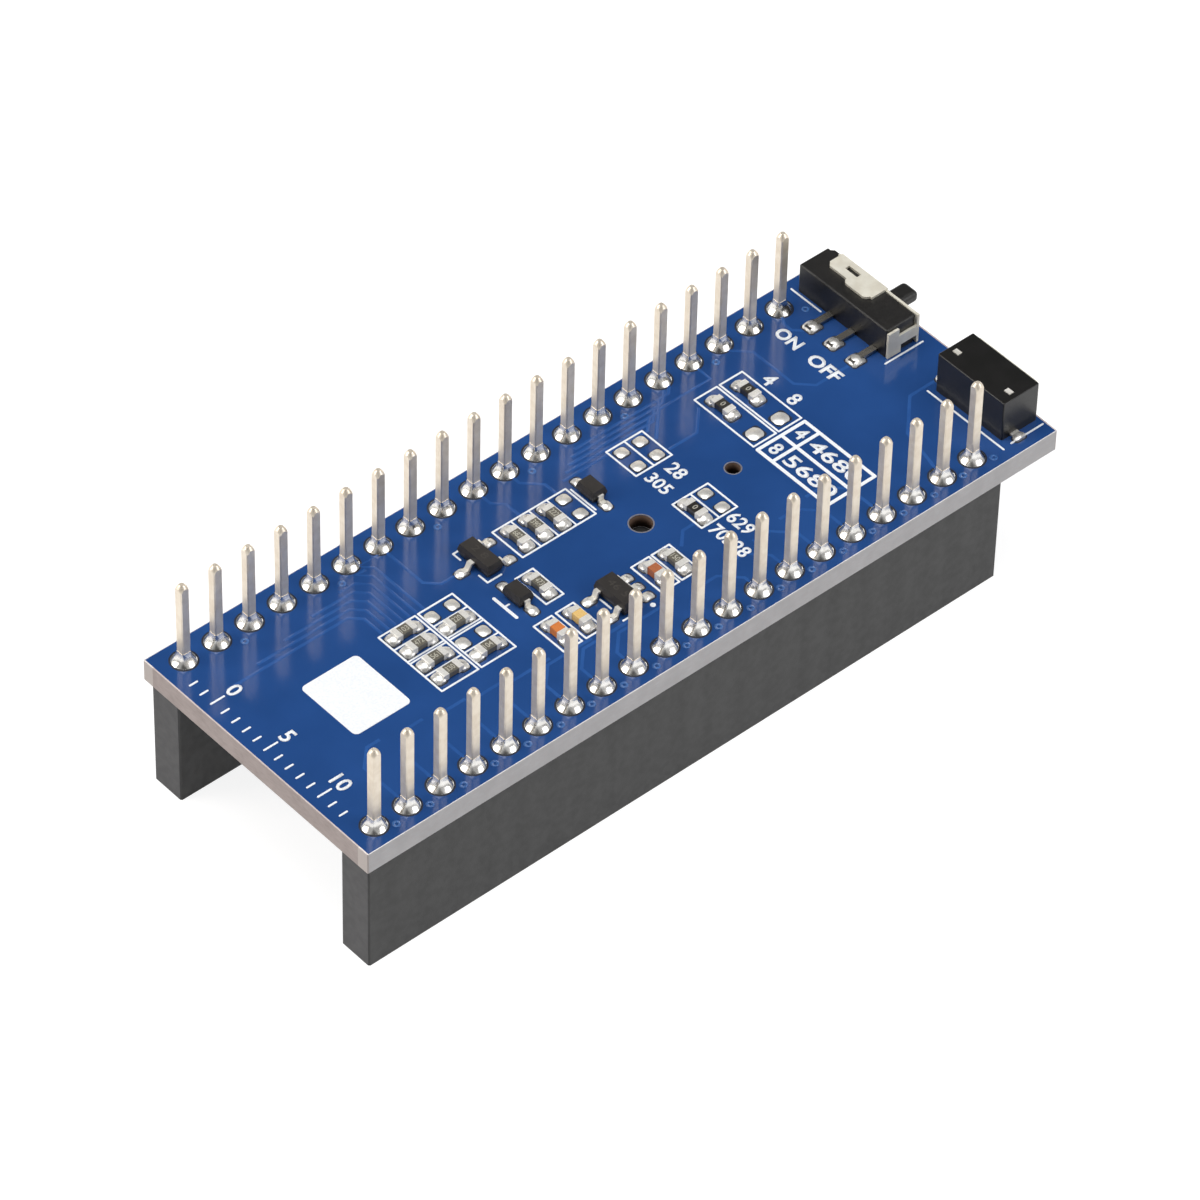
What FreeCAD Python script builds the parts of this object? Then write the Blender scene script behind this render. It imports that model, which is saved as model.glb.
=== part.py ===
import FreeCAD, Part
import math
import os

# Satellite receiver expansion board on two rows of stacking socket headers.
# Millimetres, +Z up. The origin is the centre of the 2 x 20 pin grid, on the plane that the headers stand on.
# X runs along the pin rows, towards the end with the switch and the button.
# Y runs from the near row to the far row.

V = FreeCAD.Vector

# Pin grid
pins_per_row = 20
pin_pitch = 2.54
row_spacing = 17.78
pin_size = 0.64
pin_above_board = 6.45
pin_tip_length = 0.8
pin_tip_radius = 0.15
pin_edge_bevel = 0.07

# Socket headers
header_height = 8.6
header_width = 2.54
header_end_margin = 0.24
header_edge_bevel = 0.1
socket_mouth = 1.3
socket_throat = 0.9
socket_funnel_depth = 0.45
socket_lip = 0.5
socket_floor = 1.2
spring_chamber_length = 1.0
spring_chamber_width = 1.8
spring_thickness = 0.2
spring_gap = 0.42
spring_clearance = 0.1
yoke_height = 0.45
pin_passage_clearance = 0.02

# Smallest gap between a piece and the face it sits on
seat_gap = 0.03

# Printed circuit board
board_thickness = 1.6
board_left_margin = 0.34
board_right_margin = 4.26
board_side_margin = 0.34
board_corner_radius = 0.08
pin_hole_clearance = 0.06

# Solder round the header pins: a round foot that turns square as it climbs the pin
# Each level of the slope is a share of the height, a share of the spread, and how square it is (2 is round)
pin_joint_radius = 0.79
pin_joint_height = 0.88
pin_joint_skin = 0.025
pin_joint_slope = [
    (0, 1, 2.1), (0.11, 0.79, 2.4), (0.24, 0.57, 2.9), (0.42, 0.33, 3.8), (0.66, 0.13, 5), (1, 0, 8),
]
pin_joint_outline_points = 24
barrel_clearance = 0.01

# Slide switch on the far half of the right-hand end
switch_inset = 3.71
switch_far_inset = 1.11
switch_depth = 2.4
switch_length = 8.15
switch_height = 2.25
switch_edge_radius = 0.12
switch_back_wall = 0.8
switch_end_wall = 0.45
switch_floor = 0.35
switch_roof = 0.25
switch_post_length = 0.95
switch_post_height = 0.75
switch_post_chamfer = 0.5
switch_sheet = 0.18
switch_sheet_gap = 0.03
switch_cover_rise = 0.07
switch_tab_height = 1.45
switch_far_tab_start = 0.4
switch_hook_height = 2.05
switch_hook_length = 0.9
switch_tab_notch_start = 1.1
switch_tab_notch_length = 1.35
switch_tab_notch_height = 0.65
switch_flange_depth = 1.38
switch_flange_start = 2.75
switch_flange_length = 4.2
switch_flange_corner = 0.3
switch_tongue_depth = 0.35
switch_tongue_length = 2.2
switch_tongue_inset = 0.15
switch_slot_width = 0.36
switch_slot_length = 1.1
switch_slot_from_flange_end = 1.65
switch_slot_from_plate = 0.62
switch_lead_pitch = 2.02
switch_first_lead = 1.0
switch_lead_width = 0.5
switch_lead_thickness = 0.18
switch_lead_reach = 2.05
switch_lead_lift = 0.08
switch_riser_height = 1.6
switch_travel = 2.0
lever_width = 1.42
lever_height = 0.86
lever_bottom = 1.08
lever_reach = 1.92
lever_offset = 0.35
lever_edge_radius = 0.34
lever_window_clearance = 0.12
slider_length = 2.7
slider_depth = 0.95
slider_clearance = 0.1
bridge_thickness = 0.12
bridge_length = 2.4
bridge_height = 0.9
bridge_gap = 0.1
lead_slot_clearance = 0.03
switch_mound_length = 1.1
switch_mound_width = 1.0
switch_mound_height = 0.32
switch_mound_crown = 0.8

# Push button in the near corner of the right-hand end, pressed from the end
button_inset = 3.31
button_near_inset = 1.56
button_depth = 3.0
button_length = 6.0
button_height = 3.1
button_edge_radius = 0.1
button_back_wall = 1.0
button_end_wall = 1.1
button_floor = 0.45
button_roof = 0.5
button_plate_sheet = 0.22
button_plate_margin = 0.25
button_travel = 0.25
plunger_width = 2.6
plunger_height = 1.15
plunger_bottom = 0.75
plunger_reach = 0.58
plunger_edge_radius = 0.12
plunger_flange_depth = 0.6
plunger_flange_overlap = 0.25
plunger_nub_radius = 0.5
plunger_nub_length = 0.45
plunger_clearance = 0.08
dome_radius = 1.15
dome_rise = 0.35
dome_thickness = 0.08
dome_gap = 0.05
button_lead_width = 0.5
button_lead_thickness = 0.35
button_lead_inset = 0.42
button_lead_setback = 0.85
button_lead_rise = 0.05
button_foot_reach = 0.5
button_foot_thickness = 0.18
button_foot_width = 0.6
button_contact_reach = 0.9
button_contact_sheet = 0.1
button_mound_length = 0.9
button_mound_width = 0.5
button_mound_height = 0.3
button_mound_crown = 0.7

# Chip parts: length, width, height of one 0603 body, then the larger capacitors
chip_length = 1.6
chip_width = 0.78
chip_height = 0.45
chip_cap_length = 0.42
chip_cap_skin = 0.03
chip_lift = 0.04
chip_edge_radius = 0.05
capacitor_length = 1.5
capacitor_width = 0.75
capacitor_height = 0.6
solder_reach = 0.46
solder_side = 0.08
solder_overlap = 0.25
solder_climb = 0.75
solder_corner_radius = 0.22
solder_crown_radius = 0.68
pad_length = 0.78
pad_width = 0.86
pad_height = 0.15
pad_corner_radius = 0.22
pad_crown_radius = 1.3
selector_pad_length = 1.0
selector_pad_width = 1.12

# Leaded small packages
lead_thickness = 0.13
lead_width = 0.4
lead_foot = 0.42
package_lift = 0.08
package_draft = 0.1
transistor_length = 2.85
transistor_width = 1.25
transistor_height = 0.95
transistor_span = 2.9
regulator_width = 1.5
regulator_height = 1.0
regulator_span = 2.95
regulator_lead_pitch = 0.97
diode_length = 1.6
diode_width = 1.15
diode_height = 0.9
diode_span = 2.55
lead_solder_width = 0.66
lead_solder_reach = 0.48
lead_solder_height = 0.22
lead_solder_crown = 0.6

# Places of the parts on the top face, in the board's own frame
resistor_bank_x = (-12.6, -9.6)
resistor_bank_y = (1.375, -1.525)
resistor_bank_half_pitch = 0.69
filter_bank_x = -2.05
filter_bank_pitch = 1.47
filter_bank_y = 3.82
transistor_place = (-5.12, 3.75)
upper_diode_place = (4.0, 3.88)
lower_diode_place = (-5.4, -0.1)
diode_neighbour_place = (-3.7, -0.15)
regulator_place = (-0.78, -4.05)
input_capacitor_place = (-5.5, -3.9)
bypass_capacitor_place = (-3.75, -3.9)
output_capacitor_place = (2.35, -3.9)
divider_resistor_place = (4.0, -3.9)
enable_jumper_place = (8.6, 4.65)
supply_jumper_place = (8.6, -1.4)
jumper_column_pitch = 1.55
jumper_row_pitch = 1.55
selector_columns_x = (15.28, 17.42)
selector_link_y = 4.35
selector_pad_y = 1.4

# Receiver module under the board
receiver_x = -9.5
receiver_length = 10.1
receiver_width = 9.7
receiver_board_thickness = 0.8
receiver_corner_radius = 0.25
receiver_pads_per_side = 9
receiver_pad_spacing = 1.1
castellation_radius = 0.22
receiver_foot_height = 0.25
receiver_foot_corner = 0.12
receiver_foot_crown = 0.5
shield_margin = 0.45
shield_height = 1.7
shield_sheet = 0.2
shield_corner_radius = 0.6
shield_vent_radius = 0.35
shield_vent_pitch = 2.2

# Coin cell and its holder under the board
holder_x = 8.43
peg_spacing = 7.57
large_peg_diameter = 1.4
small_peg_diameter = 0.9
peg_hole_clearance = 0.05
peg_below_face = 0.95
cell_diameter = 12.5
cell_thickness = 2.0
cell_step = 0.3
cell_step_inset = 0.9
cell_clearance = 0.12
cell_edge_radius = 0.2
holder_wall = 0.7
holder_floor = 0.6
holder_wall_height = 2.7
holder_notch_width = 6.0
holder_notch_height = 1.9
holder_corner_radius = 1.2
holder_contact_sheet = 0.2
holder_contact_width = 4.0
holder_finger_reach = 4.5
holder_finger_tip = 0.03
holder_foot_reach = 1.3
negative_pad_radius = 2.2
negative_tail_width = 1.4
negative_tail_y = 1.7
negative_tail_bend = 3.0

# Antenna connector under the board's left-hand end
antenna_x = -22.6
antenna_base = 2.6
antenna_base_height = 0.35
antenna_base_radius = 0.15
antenna_shell_radius = 1.0
antenna_shell_wall = 0.15
antenna_shell_height = 1.25
antenna_groove_depth = 0.06
antenna_groove_height = 0.25
antenna_pin_radius = 0.25
antenna_pin_height = 0.95
antenna_foot_width = 0.7
antenna_foot_reach = 0.45
antenna_foot_height = 0.2
antenna_sheet = 0.12
antenna_boss_height = 0.47

# Small parts under the board
lamp_x = 22.4
lamp_spacing = 2.4
lamp_count = 3
lamp_y = 0.0
lamp_base_height = 0.3
lamp_lens_length = 1.0
lamp_lens_height = 0.38
lamp_resistor_gap = 1.5
amplifier_gap = 1.4
amplifier_size = 2.0
amplifier_height = 0.75
underside_chip_gap = 1.3
underside_chips_per_side = 4
underside_chip_spacing = 2.1

# Turn that sets a part's length along Y
quarter_turn = 90

# Places that follow from the sizes above
header_length = pins_per_row * pin_pitch + 2 * header_end_margin
row_y = row_spacing / 2
under_z = header_height
top_z = header_height + board_thickness
board_left = -header_length / 2 - board_left_margin
board_right = header_length / 2 + board_right_margin
board_half_width = row_y + header_width / 2 + board_side_margin
pin_half_diagonal = math.hypot(pin_size / 2, pin_size / 2)
pin_hole_radius = pin_half_diagonal + pin_hole_clearance
pin_top = top_z + pin_above_board
pin_columns = [(i - (pins_per_row - 1) / 2) * pin_pitch for i in range(pins_per_row)]

switch_x = board_right - switch_inset
switch_y = board_half_width - switch_far_inset - switch_length
button_x = board_right - button_inset
button_y = -board_half_width + button_near_inset


def box(x0, x1, y0, y1, z0, z1):
    return Part.makeBox(x1 - x0, y1 - y0, z1 - z0, V(x0, y0, z0))


def centred_box(length, width, z0, z1):
    return box(-length / 2, length / 2, -width / 2, width / 2, z0, z1)


def edges_along(shape, axis):
    """The straight edges of a solid that run along one axis."""
    found = []
    for edge in shape.Edges:
        if isinstance(edge.Curve, Part.Line) and abs(edge.Curve.Direction.dot(axis)) > 0.999:
            found.append(edge)
    return found


def rounded_upright(shape, radius):
    return shape.makeFillet(radius, edges_along(shape, V(0, 0, 1)))


def rounded_box(x0, x1, y0, y1, z0, z1, radius):
    """A box with all its edges rounded, and never by more than its thinnest side allows."""
    solid = box(x0, x1, y0, y1, z0, z1)
    limit = 0.45 * min(x1 - x0, y1 - y0, z1 - z0)
    return solid.makeFillet(min(radius, limit), solid.Edges)


def crowned_pad(length, width, height, corner_radius, crown_radius):
    """A rounded pad whose top is part of a ball, highest in its middle."""
    pad = rounded_upright(centred_box(length, width, 0, height), corner_radius)
    return pad.common(Part.makeSphere(crown_radius, V(0, 0, height - crown_radius)))


def extruded(points, start, direction):
    """A flat outline of 3-D points, swept along a direction after being moved to its start."""
    wire = Part.makePolygon([V(*p) for p in points] + [V(*points[0])])
    solid = Part.Face(wire).extrude(direction)
    solid.translate(start)
    return solid


def turned(profile):
    """An outline in the XZ plane, turned round the Z axis."""
    wire = Part.makePolygon([V(r, 0, z) for r, z in profile + profile[:1]])
    return Part.Face(wire).revolve(V(0, 0, 0), V(0, 0, 1), 360)


def on_top(shape, x, y, turn=0):
    """A part modelled on its own seat at z = 0, set on the board's top face."""
    placed = shape.copy()
    placed.rotate(V(0, 0, 0), V(0, 0, 1), turn)
    placed.translate(V(x, y, top_z))
    return placed


def hung_below(shape, x, y, turn=0):
    """The same, turned over and seated on the board's underside."""
    placed = shape.copy()
    placed.rotate(V(0, 0, 0), V(0, 0, 1), turn)
    placed.rotate(V(0, 0, 0), V(1, 0, 0), 180)
    placed.translate(V(x, y, under_z))
    return placed


def group(shapes):
    return shapes[0] if len(shapes) == 1 else Part.makeCompound(shapes)


# Printed circuit board

def peg_places():
    return [
        (holder_x - peg_spacing / 2, large_peg_diameter),
        (holder_x + peg_spacing / 2, small_peg_diameter),
    ]


def make_board():
    board = box(board_left, board_right, -board_half_width, board_half_width, under_z, top_z)
    board = rounded_upright(board, board_corner_radius)
    drills = []
    for x in pin_columns:
        for y in (-row_y, row_y):
            drills.append(Part.makeCylinder(pin_hole_radius, board_thickness, V(x, y, under_z)))
    for x, diameter in peg_places():
        radius = diameter / 2 + peg_hole_clearance
        drills.append(Part.makeCylinder(radius, board_thickness, V(x, 0, under_z)))
    return board.cut(Part.makeCompound(drills))


# Socket headers and their pins, modelled on the X axis and then moved to their row

def socket_cavity(x):
    """Funnel, throat, spring chamber and pin passage of one way."""
    half_mouth = socket_mouth / 2
    half_throat = socket_throat / 2
    mouth = Part.makePolygon([V(x + a * half_mouth, b * half_mouth, 0) for a, b in corners()])
    neck = socket_funnel_depth
    throat = Part.makePolygon([V(x + a * half_throat, b * half_throat, neck) for a, b in corners()])
    funnel = Part.makeLoft([mouth, throat], True, True)
    chamber_bottom = socket_funnel_depth + socket_lip
    chamber_top = header_height - socket_floor
    half_chamber = max(spring_chamber_length, pin_size + 2 * spring_clearance) / 2
    half_passage = pin_size / 2 + pin_passage_clearance
    throat_hole = box(x - half_throat, x + half_throat, -half_throat, half_throat, neck, chamber_bottom)
    chamber = box(x - half_chamber, x + half_chamber, -spring_chamber_width / 2, spring_chamber_width / 2,
                  chamber_bottom, chamber_top)
    passage = box(x - half_passage, x + half_passage, -half_passage, half_passage, chamber_top, header_height)
    return funnel.fuse([throat_hole, chamber, passage])


def corners():
    return [(-1, -1), (1, -1), (1, 1), (-1, 1), (-1, -1)]


def make_header_housing():
    half_length = header_length / 2
    half_width = header_width / 2
    body = box(-half_length, half_length, -half_width, half_width, 0, header_height)
    body = body.makeChamfer(header_edge_bevel, edges_along(body, V(0, 0, 1)))
    return body.cut([socket_cavity(x) for x in pin_columns])


def pin_wire(z0, z1):
    """A length of the square wire, with its long edges broken."""
    wire = centred_box(pin_size, pin_size, z0, z1)
    return wire.makeChamfer(pin_edge_bevel, edges_along(wire, V(0, 0, 1)))


def make_header_pin():
    """One contact: square tail with a rounded tip, a yoke, and two spring leaves that meet below it."""
    yoke_top = header_height - socket_floor - spring_clearance
    yoke_bottom = yoke_top - yoke_height
    half = pin_size / 2
    tail = pin_wire(yoke_bottom, pin_top)
    shoulder = pin_top - pin_tip_length
    bend = V(0.80 * pin_half_diagonal, 0, shoulder + 0.62 * pin_tip_length)
    side = [V(pin_half_diagonal, 0, 0), V(pin_half_diagonal, 0, shoulder)]
    tip = V(pin_tip_radius, 0, pin_top)
    outline = Part.Wire([
        Part.makeLine(V(0, 0, 0), side[0]),
        Part.makeLine(side[0], side[1]),
        Part.Arc(side[1], bend, tip).toShape(),
        Part.makeLine(tip, V(0, 0, pin_top)),
        Part.makeLine(V(0, 0, pin_top), V(0, 0, 0)),
    ])
    bullet = Part.Face(outline).revolve(V(0, 0, 0), V(0, 0, 1), 360)
    tail = tail.common(bullet)
    outer = spring_chamber_width / 2 - spring_clearance
    yoke = box(-half, half, -outer, outer, yoke_bottom, yoke_top)
    low = socket_funnel_depth + socket_lip + spring_clearance
    pinch = low + 0.22 * (yoke_bottom - low)
    leaf_points = [
        (outer, yoke_bottom), (outer - spring_thickness, yoke_bottom),
        (spring_gap / 2, pinch), (spring_gap / 2 + 0.6 * spring_thickness, low),
        (spring_gap / 2 + 1.6 * spring_thickness, low), (spring_gap / 2 + spring_thickness, pinch),
    ]
    leaves = []
    for side_sign in (-1, 1):
        points = [(0, side_sign * y, z) for y, z in leaf_points]
        leaves.append(extruded(points, V(-half, 0, 0), V(pin_size, 0, 0)))
    return tail.fuse([yoke] + leaves).removeSplitter()


def joint_level(z, half_width, squareness):
    """A closed outline between a circle and a square, at one height of a solder joint."""
    points = []
    for i in range(pin_joint_outline_points):
        angle = 2 * math.pi * i / pin_joint_outline_points
        across = abs(math.cos(angle)) ** squareness + abs(math.sin(angle)) ** squareness
        reach = half_width / across ** (1 / squareness)
        points.append(V(reach * math.cos(angle), reach * math.sin(angle), z))
    curve = Part.BSplineCurve()
    curve.interpolate(Points=points, PeriodicFlag=True)
    return Part.Wire(curve.toShape())


def make_pin_joint():
    """Solder that fills the drilled hole and climbs the four flats of the pin in a hollow slope."""
    neck = pin_size / 2 + pin_joint_skin
    levels = []
    for height_share, spread_share, squareness in pin_joint_slope:
        half_width = neck + spread_share * (pin_joint_radius - neck)
        levels.append(joint_level(top_z + height_share * pin_joint_height, half_width, squareness))
    slope = Part.makeLoft(levels, True, False)
    barrel = Part.makeCylinder(pin_hole_radius - barrel_clearance, board_thickness, V(0, 0, under_z))
    return slope.fuse(barrel).cut(pin_wire(under_z - 1, pin_top))


def make_row(unit, y):
    copies = []
    for x in pin_columns:
        copy = unit.copy()
        copy.translate(V(x, y, 0))
        copies.append(copy)
    return group(copies)


# Slide switch, modelled from the near end of its inner face, X outwards, Y along the board's end, Z from the board

switch_plate_x = switch_depth + switch_sheet_gap
bridge_face = switch_back_wall + switch_lead_thickness + bridge_gap
switch_post_start = switch_length - switch_post_length
switch_post_bottom = switch_height - switch_post_height
slider_back = switch_depth - slider_clearance - slider_depth
contact_centre = switch_first_lead + switch_lead_pitch / 2
lever_y = contact_centre + lever_offset


def in_switch(shape):
    shape = shape.copy()
    shape.translate(V(switch_x, switch_y, top_z))
    return shape


def switch_lead_places():
    return [switch_first_lead + i * switch_lead_pitch for i in range(3)]


def make_switch_post():
    """Corner of the housing at its far end, which fills a step in the cover's outer plate."""
    outer = switch_plate_x + switch_sheet
    cut = switch_post_chamfer
    post = box(switch_depth - switch_edge_radius, outer, switch_post_start, switch_length,
               switch_post_bottom, switch_height)
    corner = extruded([(outer - cut, switch_length, 0), (outer, switch_length - cut, 0),
                       (outer + cut, switch_length + cut, 0)], V(0, 0, 0), V(0, 0, 2 * switch_height))
    return post.cut(corner)


def make_switch_housing():
    body = box(0, switch_depth, 0, switch_length, 0, switch_height)
    rounded = edges_along(body, V(0, 0, 1)) + [e for e in body.Edges if e.BoundBox.ZMin > 0.5 * switch_height
                                               and e.BoundBox.XMin < 0.5 * switch_depth]
    body = body.makeFillet(switch_edge_radius, rounded)
    chamber = box(switch_back_wall, switch_depth + 1, switch_end_wall, switch_length - switch_end_wall,
                  switch_floor, switch_height - switch_roof)
    body = body.fuse(make_switch_post())
    half = switch_lead_width / 2 + lead_slot_clearance
    slots = [chamber]
    for y in switch_lead_places():
        depth = switch_back_wall + switch_lead_thickness + lead_slot_clearance
        foot_top = switch_lead_lift + switch_lead_thickness + lead_slot_clearance
        slots.append(box(-1, depth, y - half, y + half, -1, foot_top))
        slots.append(box(switch_back_wall - lead_slot_clearance, depth, y - half, y + half, 0, switch_floor + 0.1))
    return in_switch(body.cut(slots).removeSplitter())


def make_switch_terminals():
    """Three leads: flat foot on the board, through the back wall, then up it as a contact strip."""
    leads = []
    low = switch_lead_lift
    high = low + switch_lead_thickness
    inner = switch_back_wall + switch_lead_thickness
    for y in switch_lead_places():
        outline = [
            (-switch_lead_reach, 0, low), (inner, 0, low), (inner, 0, switch_riser_height),
            (switch_back_wall, 0, switch_riser_height), (switch_back_wall, 0, high), (-switch_lead_reach, 0, high),
        ]
        leads.append(extruded(outline, V(0, y - switch_lead_width / 2, 0), V(0, switch_lead_width, 0)))
    return in_switch(group(leads))


def switch_tab(y0, start, hook):
    """End tab of the cover, with a foot notch, and where asked a hook that stands up beside the housing."""
    y1 = y0 + switch_sheet
    tab = box(start, switch_plate_x + switch_sheet, y0, y1, seat_gap, switch_tab_height)
    notch = box(switch_tab_notch_start, switch_tab_notch_start + switch_tab_notch_length, y0 - 1, y1 + 1,
                -1, switch_tab_notch_height)
    tab = tab.cut(notch)
    if hook:
        tab = tab.fuse(box(0, switch_hook_length, y0, y1, seat_gap, switch_hook_height)).removeSplitter()
    return tab


def make_switch_cover():
    """One folded sheet: outer plate with the lever's window, a flange over the top, a tab down each end."""
    x0 = switch_plate_x
    x1 = x0 + switch_sheet
    gap = switch_sheet_gap
    top = switch_height + switch_cover_rise
    plate = box(x0, x1, -gap - switch_sheet, switch_length + gap + switch_sheet, 0.1, top)
    step = box(x0 - 1, x1 + 1, switch_post_start - gap, switch_length + 1, switch_post_bottom - gap, top + 1)
    plate = plate.cut(step)
    flange_end = switch_flange_start + switch_flange_length
    flange_top = switch_height + gap + switch_sheet
    flange_x = x1 - switch_flange_depth
    flange = box(flange_x, x1, switch_flange_start, flange_end, top - switch_sheet, flange_top)
    flange_corner = extruded(
        [(flange_x - 1, flange_end, 0), (flange_x, flange_end - switch_flange_corner, 0),
         (flange_x + switch_flange_corner, flange_end + 0.01, 0), (flange_x, flange_end + 1, 0)],
        V(0, 0, 0), V(0, 0, 2 * switch_height))
    flange = flange.cut(flange_corner)
    tongue_start = switch_flange_start + switch_tongue_inset
    tongue = box(flange_x - switch_tongue_depth, x1, tongue_start, tongue_start + switch_tongue_length,
                 switch_height + gap, flange_top)
    tongue = rounded_upright(tongue, 1.2 * switch_tongue_depth)
    under_flange = box(-1, x0, -1, switch_length + 1, 0, switch_height + gap)
    near_tab = switch_tab(-gap - switch_sheet, 0, True)
    far_tab = switch_tab(switch_length + gap, switch_far_tab_start, False)
    sheet = plate.fuse([flange.cut(under_flange), tongue, near_tab, far_tab])
    window = box(x0 - 1, x1 + 1, lever_y - lever_width / 2 - lever_window_clearance,
                 lever_y + lever_width / 2 + switch_travel + lever_window_clearance,
                 lever_bottom - lever_window_clearance, lever_bottom + lever_height + lever_window_clearance)
    slot_x = x1 - switch_slot_from_plate
    slot_y = flange_end - switch_slot_from_flange_end
    slot = box(slot_x - switch_slot_width / 2, slot_x + switch_slot_width / 2, slot_y - switch_slot_length / 2,
               slot_y + switch_slot_length / 2, switch_height, flange_top + 1)
    return in_switch(sheet.cut([window, slot]).removeSplitter())


def make_switch_lever():
    """Sliding block inside the housing, with the lever that stands out through the window."""
    y0 = contact_centre - slider_length / 2
    z0 = switch_floor + slider_clearance
    z1 = switch_height - switch_roof - slider_clearance
    block = box(slider_back, slider_back + slider_depth, y0, y0 + slider_length, z0, z1)
    tip = switch_plate_x + switch_sheet + lever_reach - switch_sheet
    root = slider_back + 0.3 * slider_depth
    lever = rounded_box(root, tip, lever_y - lever_width / 2, lever_y + lever_width / 2,
                        lever_bottom, lever_bottom + lever_height, lever_edge_radius)
    return in_switch(block.fuse(lever).removeSplitter())


def make_switch_bridge():
    """Springy strip on the slider's back that joins two neighbouring terminals."""
    z0 = (switch_floor + switch_height - switch_roof - bridge_height) / 2
    y0 = contact_centre - bridge_length / 2
    back = box(slider_back - bridge_thickness, slider_back, y0, y0 + bridge_length, z0, z0 + bridge_height)
    bumps = []
    for y in (contact_centre - switch_lead_pitch / 2, contact_centre + switch_lead_pitch / 2):
        radius = slider_back - bridge_face
        bump = Part.makeCylinder(radius, bridge_height, V(slider_back, y, z0))
        bumps.append(bump.common(box(bridge_face - 1, slider_back, y - 1, y + 1, 0, switch_height)))
    return in_switch(back.fuse(bumps).removeSplitter())


# Push button, modelled from the near end of its inner face, X outwards, Y along the board's end, Z from the board

button_centre = button_length / 2
plunger_middle = plunger_bottom + plunger_height / 2
button_plate_x = button_depth


def in_button(shape):
    shape = shape.copy()
    shape.translate(V(button_x, button_y, top_z))
    return shape


def button_lead_boxes(clearance):
    """The upright part of each terminal, widened by a clearance when it is cut from the housing."""
    c = clearance
    x0 = button_lead_setback
    spans = []
    for y0 in (button_lead_inset, button_length - button_lead_inset - button_lead_width):
        spans.append(box(x0 - c, x0 + button_lead_thickness + c, y0 - c, y0 + button_lead_width + c,
                         button_foot_thickness / 2, button_height + button_lead_rise + c))
    return spans


def button_contact_boxes(clearance):
    """The flat tongue of each terminal that reaches under the rim of the dome."""
    c = clearance
    x0 = button_back_wall - c
    x1 = button_back_wall + button_contact_sheet + c
    half = 0.3 * plunger_height
    low = plunger_middle - half - c
    high = plunger_middle + half + c
    root = button_lead_inset + 0.5 * button_lead_width
    tip = button_end_wall + button_contact_reach
    near = box(x0, x1, root, tip, low, high)
    far = box(x0, x1, button_length - tip, button_length - root, low, high)
    return [near, far]


def button_foot_boxes(clearance):
    c = clearance
    x0 = button_lead_setback - (button_foot_width - button_lead_thickness) / 2 - c
    x1 = x0 + button_foot_width + 2 * c
    z0 = seat_gap - c
    z1 = button_foot_thickness + c
    inner = button_lead_inset + button_lead_width + c
    near = box(x0, x1, -button_foot_reach, inner, z0, z1)
    far = box(x0, x1, button_length - inner, button_length + button_foot_reach, z0, z1)
    return [near, far]


def make_button_housing():
    body = box(0, button_depth, 0, button_length, 0, button_height)
    body = body.makeFillet(button_edge_radius, edges_along(body, V(0, 0, 1)))
    rim = [e for e in body.Edges if e.BoundBox.ZMin > button_height - 0.01]
    body = body.makeFillet(0.6 * button_edge_radius, rim)
    chamber = box(button_back_wall, button_depth + 1, button_end_wall, button_length - button_end_wall,
                  button_floor, button_height - button_roof)
    cuts = [chamber]
    cuts += button_lead_boxes(lead_slot_clearance)
    cuts += button_contact_boxes(lead_slot_clearance)
    cuts += button_foot_boxes(lead_slot_clearance)
    return in_button(body.cut(cuts))


def make_button_terminals():
    terminals = []
    parts = zip(button_lead_boxes(0), button_contact_boxes(0), button_foot_boxes(0))
    for upright, tongue, foot in parts:
        terminals.append(upright.fuse([tongue, foot]).removeSplitter())
    return in_button(group(terminals))


def make_button_plate():
    x0 = button_plate_x
    x1 = x0 + button_plate_sheet
    plate = box(x0, x1, button_plate_margin, button_length - button_plate_margin, button_plate_margin,
                button_height - button_plate_margin)
    plate = plate.makeFillet(button_plate_margin, edges_along(plate, V(1, 0, 0)))
    window = box(x0 - 1, x1 + 1, button_centre - plunger_width / 2 - plunger_clearance,
                 button_centre + plunger_width / 2 + plunger_clearance,
                 plunger_bottom - plunger_clearance, plunger_bottom + plunger_height + plunger_clearance)
    return in_button(plate.cut(window))


def make_plunger():
    """Stem with a flange that the plate holds back, and a nub that meets the dome."""
    half = plunger_width / 2
    flange_front = button_plate_x - plunger_clearance
    flange_back = flange_front - plunger_flange_depth
    over = plunger_flange_overlap
    flange = box(flange_back, flange_front, button_centre - half - over, button_centre + half + over,
                 plunger_bottom - 0.5 * over, plunger_bottom + plunger_height + over)
    tip = button_plate_x + button_plate_sheet + plunger_reach
    stem = rounded_box(flange_back + 0.2 * plunger_flange_depth, tip, button_centre - half, button_centre + half,
                       plunger_bottom, plunger_bottom + plunger_height, plunger_edge_radius)
    nub_radius = min(plunger_nub_radius, 0.45 * plunger_height)
    nub = Part.makeCylinder(nub_radius, plunger_nub_length + 0.1,
                            V(flange_back - plunger_nub_length, button_centre, plunger_middle), V(1, 0, 0))
    return in_button(flange.fuse([stem, nub]).removeSplitter())


def make_dome():
    """Snap dome: a thin round disc that bulges towards the plunger, its rim on the two tongues."""
    base_x = button_back_wall + button_contact_sheet
    radius = (dome_radius ** 2 + dome_rise ** 2) / (2 * dome_rise)
    room = button_depth - plunger_clearance - plunger_flange_depth - plunger_nub_length - button_travel
    rise_centre = min(base_x + dome_rise, room - dome_gap) - radius
    centre = V(rise_centre, button_centre, plunger_middle)
    shell = Part.makeSphere(radius, centre).cut(Part.makeSphere(radius - dome_thickness, centre))
    keep = box(base_x, button_depth, 0, button_length, button_floor, button_height - button_roof)
    return in_button(shell.common(keep))


# Chip parts with two end caps, modelled along X on z = 0

capacitor_size = (capacitor_length, capacitor_width, capacitor_height)


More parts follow.
